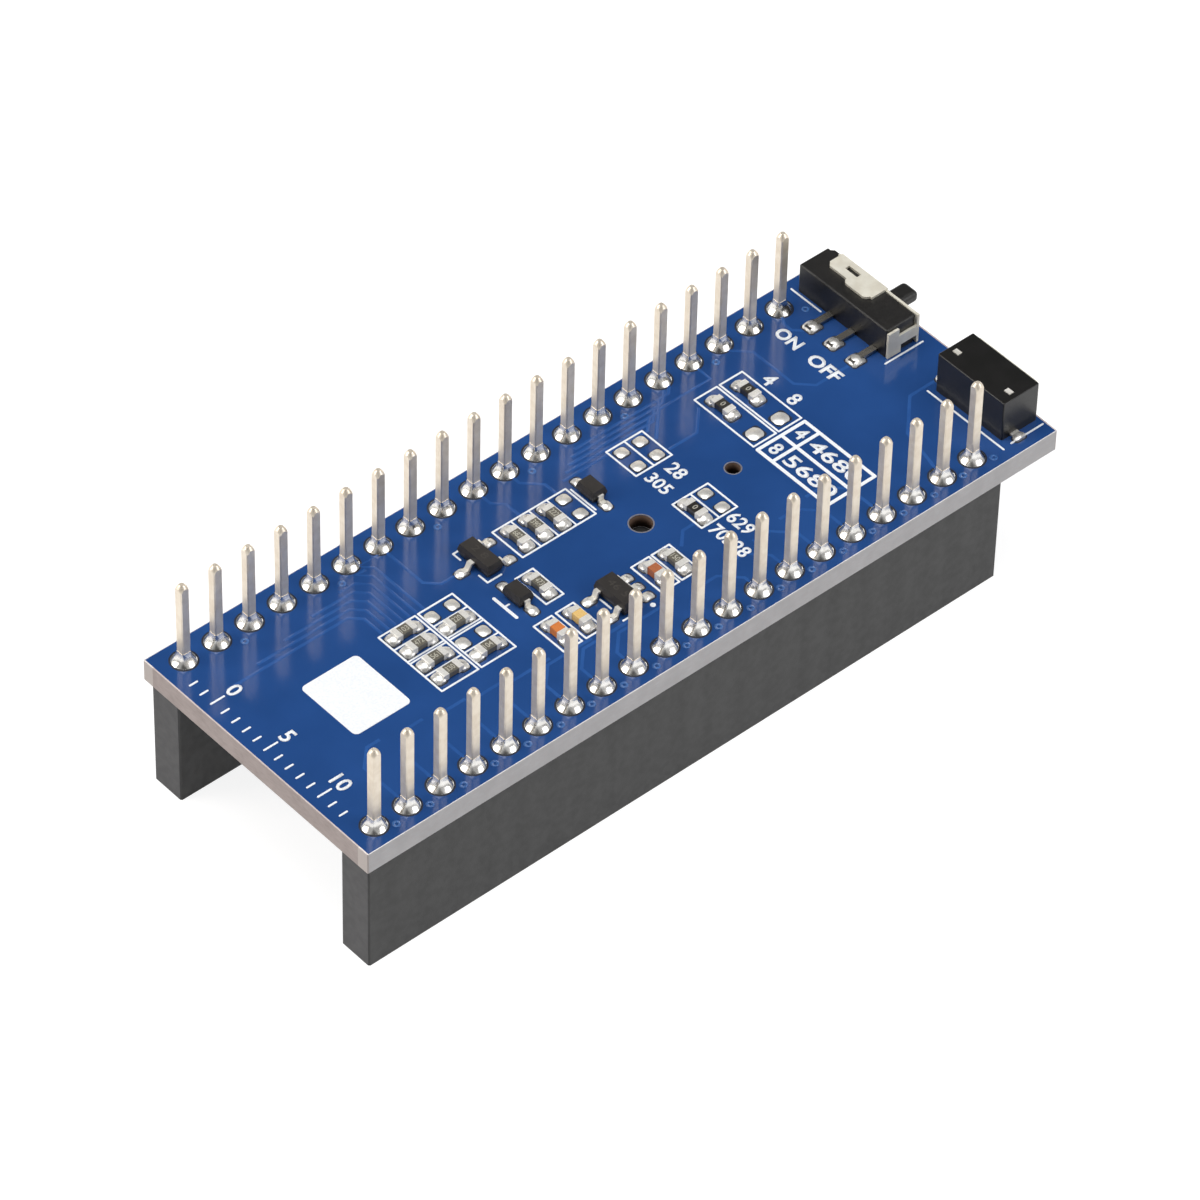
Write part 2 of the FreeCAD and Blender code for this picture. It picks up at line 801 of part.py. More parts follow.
def chip_core(length=chip_length, width=chip_width, height=chip_height):
    skin = chip_cap_skin
    return centred_box(length - 2 * skin, width - 2 * skin, chip_lift + skin, chip_lift + height - skin)


def chip_caps(length=chip_length, width=chip_width, height=chip_height):
    core = chip_core(length, width, height)
    caps = []
    for side in (-1, 1):
        inner = side * (length / 2 - chip_cap_length)
        outer = side * length / 2
        cap = box(min(inner, outer), max(inner, outer), -width / 2, width / 2, chip_lift, chip_lift + height)
        face_edges = [e for e in cap.Edges if abs(e.CenterOfMass.x - outer) < 1e-6]
        cap = cap.makeFillet(chip_edge_radius, face_edges)
        caps.append(cap.cut(core))
    return caps


def chip_solder(length=chip_length, width=chip_width, height=chip_height):
    """A smooth lump of solder between each end cap and its pad, highest against the cap."""
    lumps = []
    block = centred_box(length, width, chip_lift, chip_lift + height)
    climb = chip_lift + solder_climb * min(height, chip_height)
    reach = solder_overlap + solder_reach
    for side in (-1, 1):
        lump = centred_box(reach, width + 2 * solder_side, 0, climb)
        lump = rounded_upright(lump, solder_corner_radius)
        lump.translate(V(side * (length / 2 - solder_overlap + reach / 2), 0, 0))
        crown = V(side * length / 2, 0, climb - solder_crown_radius)
        lump = lump.common(Part.makeSphere(solder_crown_radius, crown))
        lumps.append(lump.cut(block))
    return lumps


def solder_pad(length=pad_length, width=pad_width):
    return crowned_pad(length, width, pad_height, pad_corner_radius, pad_crown_radius)


def bare_pads(spacing):
    """Two tinned pads that face each other along X."""
    pads = []
    for side in (-1, 1):
        pad = solder_pad()
        pad.translate(V(side * spacing / 2, 0, 0))
        pads.append(pad)
    return pads


# Small leaded packages, modelled with their length along Y on z = 0

def moulded_body(width, length, height):
    """A moulded block with drafted sides that meet at the leads' level."""
    middle = package_lift + 0.5 * (height - package_lift)
    layers = [
        (package_lift, 1), (middle - 0.5 * lead_thickness, 0), (middle + 0.5 * lead_thickness, 0), (height, 1),
    ]
    wires = []
    for z, taper in layers:
        x = width / 2 - taper * package_draft
        y = length / 2 - taper * package_draft
        wires.append(Part.makePolygon([V(a * x, b * y, z) for a, b in corners()]))
    body = Part.makeLoft(wires, True, True)
    return body


def gull_lead(width, span, height, side, along):
    """One bent lead that leaves the body at mid height towards +X or -X and stands on the board."""
    level = package_lift + 0.5 * (height - package_lift) - 0.5 * lead_thickness
    root = width / 2
    toe = span / 2
    heel = toe - lead_foot
    knee = root + 0.4 * (heel - root)
    t = lead_thickness
    low = seat_gap
    points = [
        (root, level), (knee, level), (heel - 0.3 * t, low), (toe, low), (toe, low + t), (heel + 0.5 * t, low + t),
        (knee + 0.8 * t, level + t), (root, level + t),
    ]
    outline = [(side * x, along - lead_width / 2, z) for x, z in points]
    return extruded(outline, V(0, 0, 0), V(0, lead_width, 0))


def lead_solder(span, side, along):
    """A low mound of solder round one lead's foot."""
    mound_length = lead_foot + lead_solder_reach
    mound = crowned_pad(mound_length, lead_solder_width, lead_solder_height,
                        pad_corner_radius, lead_solder_crown)
    mound.translate(V(side * (span / 2 - lead_foot + mound_length / 2), along, 0))
    root, toe = sorted((side * (span / 2 - 2 * lead_foot), side * span / 2))
    foot = box(root, toe, along - lead_width / 2, along + lead_width / 2, seat_gap, transistor_height)
    return mound.cut(foot)


def lead_set(width, span, height, places):
    return [gull_lead(width, span, height, side, along) for side, along in places]


def solder_set(span, places):
    return [lead_solder(span, side, along) for side, along in places]


transistor_leads = [(-1, 0), (1, -regulator_lead_pitch), (1, regulator_lead_pitch)]
regulator_leads = [(-1, -regulator_lead_pitch), (-1, regulator_lead_pitch), (1, -regulator_lead_pitch), (1, 0),
                   (1, regulator_lead_pitch)]
diode_leads = [(-1, 0), (1, 0)]


# Where each kind of part stands on the top face: x, y and turn in degrees

def along_y(places):
    return [place + (quarter_turn,) for place in places]


def resistor_places():
    """Bank of two columns, where every second place of the right-hand column is left empty."""
    fitted = []
    empty = []
    left, right = resistor_bank_x
    for centre in resistor_bank_y:
        for upper in (True, False):
            y = centre + (resistor_bank_half_pitch if upper else -resistor_bank_half_pitch)
            fitted.append((left, y, 0))
            (empty if upper else fitted).append((right, y, 0))
    for i in range(3):
        fitted.append((filter_bank_x + i * filter_bank_pitch, filter_bank_y, quarter_turn))
    empty.append((filter_bank_x + 3 * filter_bank_pitch, filter_bank_y, quarter_turn))
    fitted += along_y([diode_neighbour_place, divider_resistor_place])
    return fitted, empty


def jumper_places():
    """Zero-ohm links and open jumpers of the three solder-jumper blocks."""
    half = jumper_column_pitch / 2
    enable_x, enable_y = enable_jumper_place
    supply_x, supply_y = supply_jumper_place
    links = [(x, selector_link_y) for x in selector_columns_x] + [(supply_x - half, supply_y)]
    opened = [(enable_x - half, enable_y), (enable_x + half, enable_y), (supply_x + half, supply_y)]
    return along_y(links), along_y(opened)


def capacitor_places():
    return along_y([input_capacitor_place, bypass_capacitor_place, output_capacitor_place])


def diode_places():
    return along_y([upper_diode_place, lower_diode_place])


def all_on_top(pieces, places):
    return [on_top(piece, x, y, turn) for x, y, turn in places for piece in pieces]


def make_tinned_pads():
    empty = resistor_places()[1]
    opened = jumper_places()[1]
    pads = all_on_top(bare_pads(chip_length), empty)
    pads += all_on_top(bare_pads(jumper_row_pitch), opened)
    single = solder_pad(selector_pad_length, selector_pad_width)
    pads += all_on_top([single], along_y([(x, selector_pad_y) for x in selector_columns_x]))
    return group(pads)


def make_surface_solder():
    fitted = resistor_places()[0]
    links = jumper_places()[0]
    lumps = all_on_top(chip_solder(), fitted + links)
    lumps += all_on_top(chip_solder(*capacitor_size), capacitor_places())
    lumps += all_on_top(solder_set(transistor_span, transistor_leads), [transistor_place + (0,)])
    lumps += all_on_top(solder_set(regulator_span, regulator_leads), [regulator_place + (0,)])
    lumps += all_on_top(solder_set(diode_span, diode_leads), diode_places())
    return group(lumps)


def make_switch_solder():
    """Wide mounds of solder on the feet of the switch and the button."""
    mounds = []
    for y in switch_lead_places():
        mound = crowned_pad(switch_mound_length, switch_mound_width, switch_mound_height,
                            pad_corner_radius, switch_mound_crown)
        mound.translate(V(-switch_lead_reach + 0.4 * switch_mound_length, y, 0))
        lead = box(-switch_lead_reach, 0, y - switch_lead_width / 2, y + switch_lead_width / 2, switch_lead_lift,
                   switch_lead_lift + switch_lead_thickness)
        mounds.append(in_switch(mound.cut(lead)))
    for foot in button_foot_boxes(0):
        centre = foot.BoundBox.Center
        outer = centre.y < button_centre
        y = -button_foot_reach if outer else button_length + button_foot_reach
        mound = crowned_pad(button_mound_length, button_mound_width, button_mound_height,
                            pad_corner_radius, button_mound_crown)
        mound.translate(V(centre.x, y, 0))
        mounds.append(in_button(mound.cut(foot)))
    return group(mounds)


# Receiver module under the board, hung from the underside

def receiver_pad_places():
    half = (receiver_pads_per_side - 1) / 2
    return [(i - half) * receiver_pad_spacing for i in range(receiver_pads_per_side)]


def make_receiver_board():
    base = centred_box(receiver_length, receiver_width, seat_gap, seat_gap + receiver_board_thickness)
    base = rounded_upright(base, receiver_corner_radius)
    bites = []
    for x in receiver_pad_places():
        for side in (-1, 1):
            bites.append(Part.makeCylinder(castellation_radius, receiver_board_thickness + 1,
                                           V(x, side * receiver_width / 2, -0.5)))
    return hung_below(base.cut(bites), receiver_x, 0)


def make_receiver_pads():
    """Plated half-round edge contacts, filled with solder."""
    plugs = []
    body = centred_box(receiver_length, receiver_width, -1, 2)
    for x in receiver_pad_places():
        for side in (-1, 1):
            y = side * receiver_width / 2
            plug = Part.makeCylinder(castellation_radius - barrel_clearance, seat_gap + receiver_board_thickness,
                                     V(x, y, 0))
            foot = crowned_pad(2.2 * castellation_radius, 3 * castellation_radius, receiver_foot_height,
                               receiver_foot_corner, receiver_foot_crown)
            foot.translate(V(x, y + side * 1.5 * castellation_radius, 0))
            plugs.append(hung_below(plug.common(body).fuse(foot.cut(body)), receiver_x, 0))
    return group(plugs)


def make_shield():
    """Drawn metal can, open towards the module's board, with a few round vents."""
    base_z = seat_gap + receiver_board_thickness
    length = receiver_length - 2 * shield_margin
    width = receiver_width - 2 * shield_margin
    can = centred_box(length, width, base_z, base_z + shield_height)
    can = rounded_upright(can, shield_corner_radius)
    rim = [e for e in can.Edges if e.BoundBox.ZMin > base_z + 0.9 * shield_height]
    can = can.makeFillet(1.2 * shield_sheet, rim)
    hollow = centred_box(length - 2 * shield_sheet, width - 2 * shield_sheet, base_z - 1,
                         base_z + shield_height - shield_sheet)
    hollow = rounded_upright(hollow, shield_corner_radius - shield_sheet)
    vents = []
    for i in (-1, 0, 1):
        for j in (-1, 0, 1):
            spot = V(i * shield_vent_pitch, j * shield_vent_pitch, base_z + 0.5 * shield_height)
            vents.append(Part.makeCylinder(shield_vent_radius, shield_height, spot))
    return hung_below(can.cut([hollow] + vents), receiver_x, 0)


# Coin cell holder under the board

cell_radius = cell_diameter / 2
pocket_radius = cell_radius + cell_clearance
holder_half = pocket_radius + holder_wall
cell_seat = holder_floor + holder_contact_sheet + seat_gap
holder_top = holder_floor + holder_wall_height


def make_holder():
    """Moulded tray: pegs through the board, a floor, a round pocket, and a notch to slide the cell out."""
    tray = centred_box(2 * holder_half, 2 * holder_half - holder_wall, seat_gap, holder_top)
    tray = rounded_upright(tray, holder_corner_radius)
    pocket = Part.makeCylinder(pocket_radius, holder_top, V(0, 0, holder_floor))
    notch = box(0, 2 * holder_half, -holder_notch_width / 2, holder_notch_width / 2,
                holder_top - holder_notch_height, holder_top + 1)
    contact_slot = box(-2 * holder_half, 0, -holder_contact_width / 2 - cell_clearance,
                       holder_contact_width / 2 + cell_clearance, -1, holder_top + 1)
    contact_slot = contact_slot.common(box(-2 * holder_half, -holder_half + 2 * holder_contact_sheet,
                                           -holder_half, holder_half, -1, holder_top + 1))
    floor_window = Part.makeCylinder(0.8 * negative_pad_radius, holder_floor + 1, V(0, 0, -0.5))
    half_channel = negative_tail_width / 2 + cell_clearance
    channel = box(negative_tail_bend - cell_clearance, 2 * holder_half, negative_tail_y - half_channel,
                  negative_tail_y + half_channel, -1, holder_floor)
    tray = tray.cut([pocket, notch, contact_slot, floor_window, channel])
    pegs = []
    for x, diameter in peg_places():
        peg = Part.makeCylinder(diameter / 2, board_thickness - peg_below_face + holder_floor / 2,
                                V(x - holder_x, 0, -board_thickness + peg_below_face))
        pegs.append(peg)
    return hung_below(tray.fuse(pegs), holder_x, 0)


def make_positive_contact():
    """Sheet strip: foot on the board, up the tray's end, then over the cell with a dipped spring finger."""
    sheet = holder_contact_sheet
    x_wall = -holder_half + sheet
    over = cell_seat + cell_thickness
    crown = holder_top + cell_clearance + sheet
    bend = x_wall + 0.6 * holder_finger_reach
    dip = x_wall + 0.8 * holder_finger_reach
    end = x_wall + holder_finger_reach
    low = over + holder_finger_tip
    high = low + holder_finger_tip
    outline = [
        (x_wall - holder_foot_reach, seat_gap), (x_wall, seat_gap), (x_wall, crown - sheet),
        (bend, crown - sheet), (dip, low), (end, high), (end, high + sheet), (dip, low + sheet),
        (bend + 0.5 * sheet, crown), (x_wall - sheet, crown),
        (x_wall - sheet, seat_gap + sheet), (x_wall - holder_foot_reach, seat_gap + sheet),
    ]
    points = [(x, 0, z) for x, z in outline]
    strip = extruded(points, V(0, -holder_contact_width / 2, 0), V(0, holder_contact_width, 0))
    return hung_below(strip, holder_x, 0)


def make_negative_contact():
    """Round plate on the tray's floor with a tail through the far wall to its own foot."""
    sheet = holder_contact_sheet
    plate = Part.makeCylinder(negative_pad_radius, sheet, V(0, 0, holder_floor))
    reach = holder_half + holder_foot_reach
    bend = negative_tail_bend
    y0 = negative_tail_y - negative_tail_width / 2
    y1 = negative_tail_y + negative_tail_width / 2
    tail = box(0, bend + sheet, y0, y1, holder_floor, holder_floor + sheet)
    drop = box(bend, bend + sheet, y0, y1, seat_gap, holder_floor + sheet)
    foot = box(bend, reach, y0, y1, seat_gap, seat_gap + sheet)
    return hung_below(plate.fuse([tail, drop, foot]).removeSplitter(), holder_x, 0)


def make_coin_cell():
    """Steel can with a smaller negative cap towards the board."""
    can = Part.makeCylinder(cell_radius, cell_thickness - cell_step, V(0, 0, cell_seat + cell_step))
    rims = [e for e in can.Edges if isinstance(e.Curve, Part.Circle)]
    can = can.makeFillet(cell_edge_radius, rims)
    cap = Part.makeCylinder(cell_radius - cell_step_inset, cell_step + 0.5 * cell_thickness, V(0, 0, cell_seat))
    return hung_below(can.fuse(cap).removeSplitter(), holder_x, 0)


# Antenna connector

def make_antenna_shell():
    """Push-fit coaxial ring with a retaining groove and four solder feet."""
    outer = antenna_shell_radius
    inner = outer - antenna_shell_wall
    low = antenna_base_height
    high = antenna_shell_height
    groove = antenna_groove_height
    middle = 0.5 * (low + high)
    ring = turned([
        (inner, low), (outer, low), (outer, middle - groove / 2),
        (outer - antenna_groove_depth, middle - groove / 4),
        (outer - antenna_groove_depth, middle + groove / 4), (outer, middle + groove / 2), (outer, high - 0.05),
        (outer - 0.05, high), (inner, high),
    ])
    sheet = antenna_sheet
    half_base = antenna_base / 2
    band = centred_box(antenna_base, antenna_base, low, low + sheet)
    band = band.cut(Part.makeCylinder(inner, 1, V(0, 0, low - 0.5)))
    pieces = [band]
    for side in (-1, 1):
        for lean in (-1, 1):
            inside, outside = sorted((lean * half_base, lean * (half_base - antenna_foot_width)))
            x0, x1 = sorted((side * half_base, side * (half_base + sheet)))
            pieces.append(box(x0, x1, inside, outside, seat_gap, low + sheet))
            x0, x1 = sorted((side * half_base, side * (half_base + antenna_foot_reach)))
            pieces.append(box(x0, x1, inside, outside, seat_gap, antenna_foot_height))
    return hung_below(ring.fuse(pieces).removeSplitter(), antenna_x, 0)


def make_antenna_base():
    base = centred_box(antenna_base, antenna_base, seat_gap, antenna_base_height)
    base = rounded_upright(base, antenna_base_radius)
    boss = Part.makeCylinder(0.55 * antenna_shell_radius, antenna_boss_height - seat_gap, V(0, 0, seat_gap))
    bore = Part.makeCylinder(antenna_pin_radius, 2, V(0, 0, -1))
    return hung_below(base.fuse(boss).cut(bore), antenna_x, 0)


def make_antenna_pin():
    pin = Part.makeCylinder(antenna_pin_radius, antenna_pin_height - seat_gap, V(0, 0, seat_gap))
    tip = [e for e in pin.Edges if e.BoundBox.ZMin > 0.9 * antenna_pin_height]
    pin = pin.makeFillet(0.5 * antenna_pin_radius, tip)
    return hung_below(pin, antenna_x, 0)


# Status lamps and the small parts near the module

def lamp_places():
    half = (lamp_count - 1) / 2
    return [(lamp_x, lamp_y + (i - half) * lamp_spacing) for i in range(lamp_count)]


def make_lamp_bases():
    base = centred_box(chip_length, chip_width, seat_gap, lamp_base_height)
    return group([hung_below(base, x, y) for x, y in lamp_places()])


def make_lamp_lenses():
    z0 = lamp_base_height
    lens = centred_box(lamp_lens_length, chip_width, z0, z0 + lamp_lens_height)
    lens = lens.makeChamfer(0.12, [e for e in lens.Edges if e.BoundBox.ZMin > z0 + 0.9 * lamp_lens_height])
    return group([hung_below(lens, x, y) for x, y in lamp_places()])


def underside_chip_places():
    """Resistors beside the lamps, and a row of small parts along each short side of the module."""
    places = [(x - chip_length - lamp_resistor_gap, y) for x, y in lamp_places()]
    half = (underside_chips_per_side - 1) / 2
    x = receiver_x - receiver_length / 2 - underside_chip_gap
    places += [(x, (i - half) * underside_chip_spacing) for i in range(underside_chips_per_side)]
    return places


def all_below(pieces):
    return [hung_below(piece, x, y) for x, y in underside_chip_places() for piece in pieces]


def make_amplifier():
    body = centred_box(amplifier_size, amplifier_size, seat_gap, amplifier_height)
    body = rounded_upright(body, 0.08)
    amplifier_x = antenna_x + antenna_base / 2 + amplifier_gap + amplifier_size / 2
    return hung_below(body, amplifier_x, 0)


def write(name, shape):
    shape.exportStep("parts/" + name + ".step")


def main():
    os.makedirs("parts", exist_ok=True)
    write("circuit_board", make_board())

    housing = make_header_housing()
    pin = make_header_pin()
    joint = make_pin_joint()
    for side, y in (("near", -row_y), ("far", row_y)):
        row_housing = housing.copy()
        row_housing.translate(V(0, y, 0))
        write("socket_header_" + side, row_housing)
        write("header_pins_" + side, make_row(pin, y))
        write("pin_solder_joints_" + side, make_row(joint, y))

    write("slide_switch_housing", make_switch_housing())
    write("slide_switch_cover", make_switch_cover())
    write("slide_switch_terminals", make_switch_terminals())
    write("slide_switch_lever", make_switch_lever())
    write("slide_switch_contact_bridge", make_switch_bridge())

    write("push_button_housing", make_button_housing())
    write("push_button_front_plate", make_button_plate())
    write("push_button_terminals", make_button_terminals())
    write("push_button_plunger", make_plunger())
    write("push_button_snap_dome", make_dome())
    write("switch_and_button_solder", make_switch_solder())

    fitted, empty = resistor_places()
    links, opened = jumper_places()
    write("chip_resistor_bodies", group(all_on_top([chip_core()], fitted)))
    write("chip_resistor_end_caps", group(all_on_top(chip_caps(), fitted)))
    write("jumper_link_bodies", group(all_on_top([chip_core()], links)))
    write("jumper_link_end_caps", group(all_on_top(chip_caps(), links)))
    capacitor_names = ("input_capacitor_body", "bypass_capacitor_body", "output_capacitor_body")
    for name, place in zip(capacitor_names, capacitor_places()):
        write(name, on_top(chip_core(*capacitor_size), *place))
    write("capacitor_end_caps", group(all_on_top(chip_caps(*capacitor_size), capacitor_places())))
    write("tinned_pads", make_tinned_pads())
    write("surface_solder", make_surface_solder())

    body = moulded_body(transistor_width, transistor_length, transistor_height)
    write("transistor_body", on_top(body, *transistor_place))
    leads = lead_set(transistor_width, transistor_span, transistor_height, transistor_leads)
    write("transistor_leads", group(all_on_top(leads, [transistor_place + (0,)])))
    body = moulded_body(regulator_width, transistor_length, regulator_height)
    write("regulator_body", on_top(body, *regulator_place))
    leads = lead_set(regulator_width, regulator_span, regulator_height, regulator_leads)
    write("regulator_leads", group(all_on_top(leads, [regulator_place + (0,)])))
    body = moulded_body(diode_length, diode_width, diode_height)
    write("diode_bodies", group(all_on_top([body], diode_places())))
    leads = lead_set(diode_length, diode_span, diode_height, diode_leads)
    write("diode_leads", group(all_on_top(leads, diode_places())))

    write("receiver_module_board", make_receiver_board())
    write("receiver_module_edge_contacts", make_receiver_pads())
    write("receiver_module_shield", make_shield())
    write("coin_cell_holder", make_holder())
    write("coin_cell_positive_contact", make_positive_contact())
    write("coin_cell_negative_contact", make_negative_contact())
    write("coin_cell", make_coin_cell())
    write("antenna_connector_shell", make_antenna_shell())
    write("antenna_connector_base", make_antenna_base())
    write("antenna_connector_pin", make_antenna_pin())
    write("status_lamp_bases", make_lamp_bases())
    write("status_lamp_lenses", make_lamp_lenses())
    write("underside_chip_bodies", group(all_below([chip_core()])))
    write("underside_chip_end_caps", group(all_below(chip_caps())))
    write("underside_chip_solder", group(all_below(chip_solder())))
    write("antenna_amplifier", make_amplifier())


main()
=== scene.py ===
"""Looks of a satellite receiver expansion board that stands on two rows of socket headers.

Lengths are in metres unless a name or a comment says mm. X runs along the pin rows towards the end with the
switch and the button, Y runs from the near row to the far row, and Z is up.
"""

import math

import bmesh
import bpy
from mathutils import Matrix, Vector


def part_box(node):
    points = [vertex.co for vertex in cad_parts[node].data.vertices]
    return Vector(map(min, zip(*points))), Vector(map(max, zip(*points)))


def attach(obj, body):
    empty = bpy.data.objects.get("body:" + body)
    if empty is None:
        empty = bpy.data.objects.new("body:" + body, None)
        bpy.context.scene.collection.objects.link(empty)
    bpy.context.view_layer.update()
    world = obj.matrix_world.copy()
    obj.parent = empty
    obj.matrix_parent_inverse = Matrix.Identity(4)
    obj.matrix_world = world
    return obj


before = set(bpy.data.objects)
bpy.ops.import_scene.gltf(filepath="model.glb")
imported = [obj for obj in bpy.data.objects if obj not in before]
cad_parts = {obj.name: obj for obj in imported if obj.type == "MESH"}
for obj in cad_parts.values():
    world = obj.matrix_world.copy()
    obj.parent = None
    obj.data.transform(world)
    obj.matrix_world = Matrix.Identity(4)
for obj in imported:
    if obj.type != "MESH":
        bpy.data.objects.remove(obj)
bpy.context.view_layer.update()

MM = 0.001
ROOT = "board_assembly"

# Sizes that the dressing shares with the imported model
board_low, board_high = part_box("circuit_board")
pin_low, pin_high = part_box("header_pins_near")
far_low, far_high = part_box("header_pins_far")
joint_low, joint_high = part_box("pin_solder_joints_near")
BOARD_TOP = board_high.z
BOARD_UNDER = board_low.z
PINS_PER_ROW = 20
PIN_SIZE = 0.64 * MM
PIN_PITCH = (pin_high.x - pin_low.x - PIN_SIZE) / (PINS_PER_ROW - 1)
ROW_Y = (far_low.y + far_high.y) / 2
JOINT_RADIUS = (joint_high.y - joint_low.y) / 2

# The same places in mm, for what is drawn on the board
PITCH_MM = PIN_PITCH / MM
ROW_MM = ROW_Y / MM
COLUMNS_MM = [(i - (PINS_PER_ROW - 1) / 2) * PITCH_MM for i in range(PINS_PER_ROW)]

# Points of a mesh that lie closer than this are one point
SAME_POINT = 1e-7


# Camera: the photograph's viewing angle, found by fitting the pins and the board's corners

CAMERA_PLACE_MM = (-214.14, -236.97, 326.21)
# Angles in degrees
CAMERA_AZIMUTH = -42.29
CAMERA_ELEVATION = 45.02
CAMERA_ROLL = 1.51
CAMERA_LENS_MM = 221.09
CAMERA_SENSOR_MM = 36
CAMERA_CLIP = (0.01, 10)


def place_camera():
    azimuth, elevation, roll = (math.radians(a) for a in (CAMERA_AZIMUTH, CAMERA_ELEVATION, CAMERA_ROLL))
    back = Vector((
        math.sin(azimuth) * math.cos(elevation),
        -math.cos(azimuth) * math.cos(elevation),
        math.sin(elevation),
    ))
    level = Vector((math.cos(azimuth), math.sin(azimuth), 0))
    above = back.cross(level)
    right = math.cos(roll) * level + math.sin(roll) * above
    up = back.cross(right)
    data = bpy.data.cameras.new("photo_camera")
    data.lens = CAMERA_LENS_MM
    data.sensor_width = CAMERA_SENSOR_MM
    data.clip_start, data.clip_end = CAMERA_CLIP
    camera = bpy.data.objects.new("photo_camera", data)
    camera.matrix_world = Matrix((
        (right.x, up.x, back.x, CAMERA_PLACE_MM[0] * MM),
        (right.y, up.y, back.y, CAMERA_PLACE_MM[1] * MM),
        (right.z, up.z, back.z, CAMERA_PLACE_MM[2] * MM),
        (0, 0, 0, 1),
    ))
    bpy.context.scene.collection.objects.link(camera)
    bpy.context.scene.camera = camera


# Shader helpers

# The sockets of the mix node that carry its two colours, and the one that gives the mixed colour
COLOUR_A, COLOUR_B, COLOUR_OUT = 6, 7, 2

# How far the wave texture's bands run over one unit at a scale of 1, in radians
WAVE_RADIANS = 20


def hue(code):
    """An sRGB hex value as linear red, green, blue, alpha."""
    channels = [int(code[i:i + 2], 16) / 255 for i in (1, 3, 5)]
    return tuple(c / 12.92 if c <= 0.04045 else ((c + 0.055) / 1.055) ** 2.4 for c in channels) + (1.0,)


def per_mm(size_mm):
    """The texture scale at which one cell of a pattern is that wide."""
    return 1 / (size_mm * MM)


def add(tree, kind, inputs=None, **settings):
    """Adds one node. Each of its inputs is given a value, or the output of another node that feeds it."""
    node = tree.nodes.new(kind)
    for name, value in settings.items():
        setattr(node, name, value)
    for key, value in (inputs or {}).items():
        if isinstance(value, bpy.types.NodeSocket):
            tree.links.new(value, node.inputs[key])
        else:
            node.inputs[key].default_value = value
    return node


def new_material(name):
    """An empty material with its output, and the place of each point on the piece in metres."""
    material = bpy.data.materials.new(name)
    material.use_nodes = True
    tree = material.node_tree
    tree.nodes.clear()
    output = add(tree, "ShaderNodeOutputMaterial")
    place = add(tree, "ShaderNodeTexCoord").outputs["Object"]
    return material, tree, output, place


def finish_material(tree, output, inputs):
    shader = add(tree, "ShaderNodeBsdfPrincipled", inputs)
    tree.links.new(shader.outputs["BSDF"], output.inputs["Surface"])


def noise(tree, place, size_mm, detail=2.0, stretch=(1, 1, 1)):
    """Soft random values from 0 to 1, with cells of size_mm that can be stretched along the axes."""
    mapped = add(tree, "ShaderNodeMapping", {"Vector": place, "Scale": [1 / s for s in stretch]})
    field = add(tree, "ShaderNodeTexNoise",
                {"Vector": mapped.outputs["Vector"], "Scale": per_mm(size_mm), "Detail": detail})
    return field.outputs["Fac"]


def spread(tree, value, low, high, start=0.35, end=0.65):
    """Turns values between start and end into values between low and high."""
    return add(tree, "ShaderNodeMapRange", {
        "Value": value, "From Min": start, "From Max": end, "To Min": low, "To Max": high,
    }).outputs["Result"]


def mix_hues(tree, factor, first, second):
    node = add(tree, "ShaderNodeMix", {"Factor": factor, COLOUR_A: first, COLOUR_B: second},
               data_type="RGBA")
    return node.outputs[COLOUR_OUT]


def reckon(tree, operation, *values, **settings):
    """The outcome of a sum on numbers or on the outputs of nodes."""
    return add(tree, "ShaderNodeMath", dict(enumerate(values)), operation=operation, **settings).outputs[0]


def beyond(tree, place, low, high, margin):
    """1 within a margin of either end of the stretch from low to high, and 0 between."""
    from_middle = reckon(tree, "ABSOLUTE", reckon(tree, "SUBTRACT", place, (low + high) / 2))
    return reckon(tree, "GREATER_THAN", from_middle, (high - low) / 2 - margin)


def relief(tree, height, depth_mm, under=None):
    """Bumps of the given depth, on top of the bumps under them."""
    inputs = {"Height": height, "Strength": 1.0, "Distance": depth_mm * MM}
    if under is not None:
        inputs["Normal"] = under
    return add(tree, "ShaderNodeBump", inputs).outputs["Normal"]


# Materials

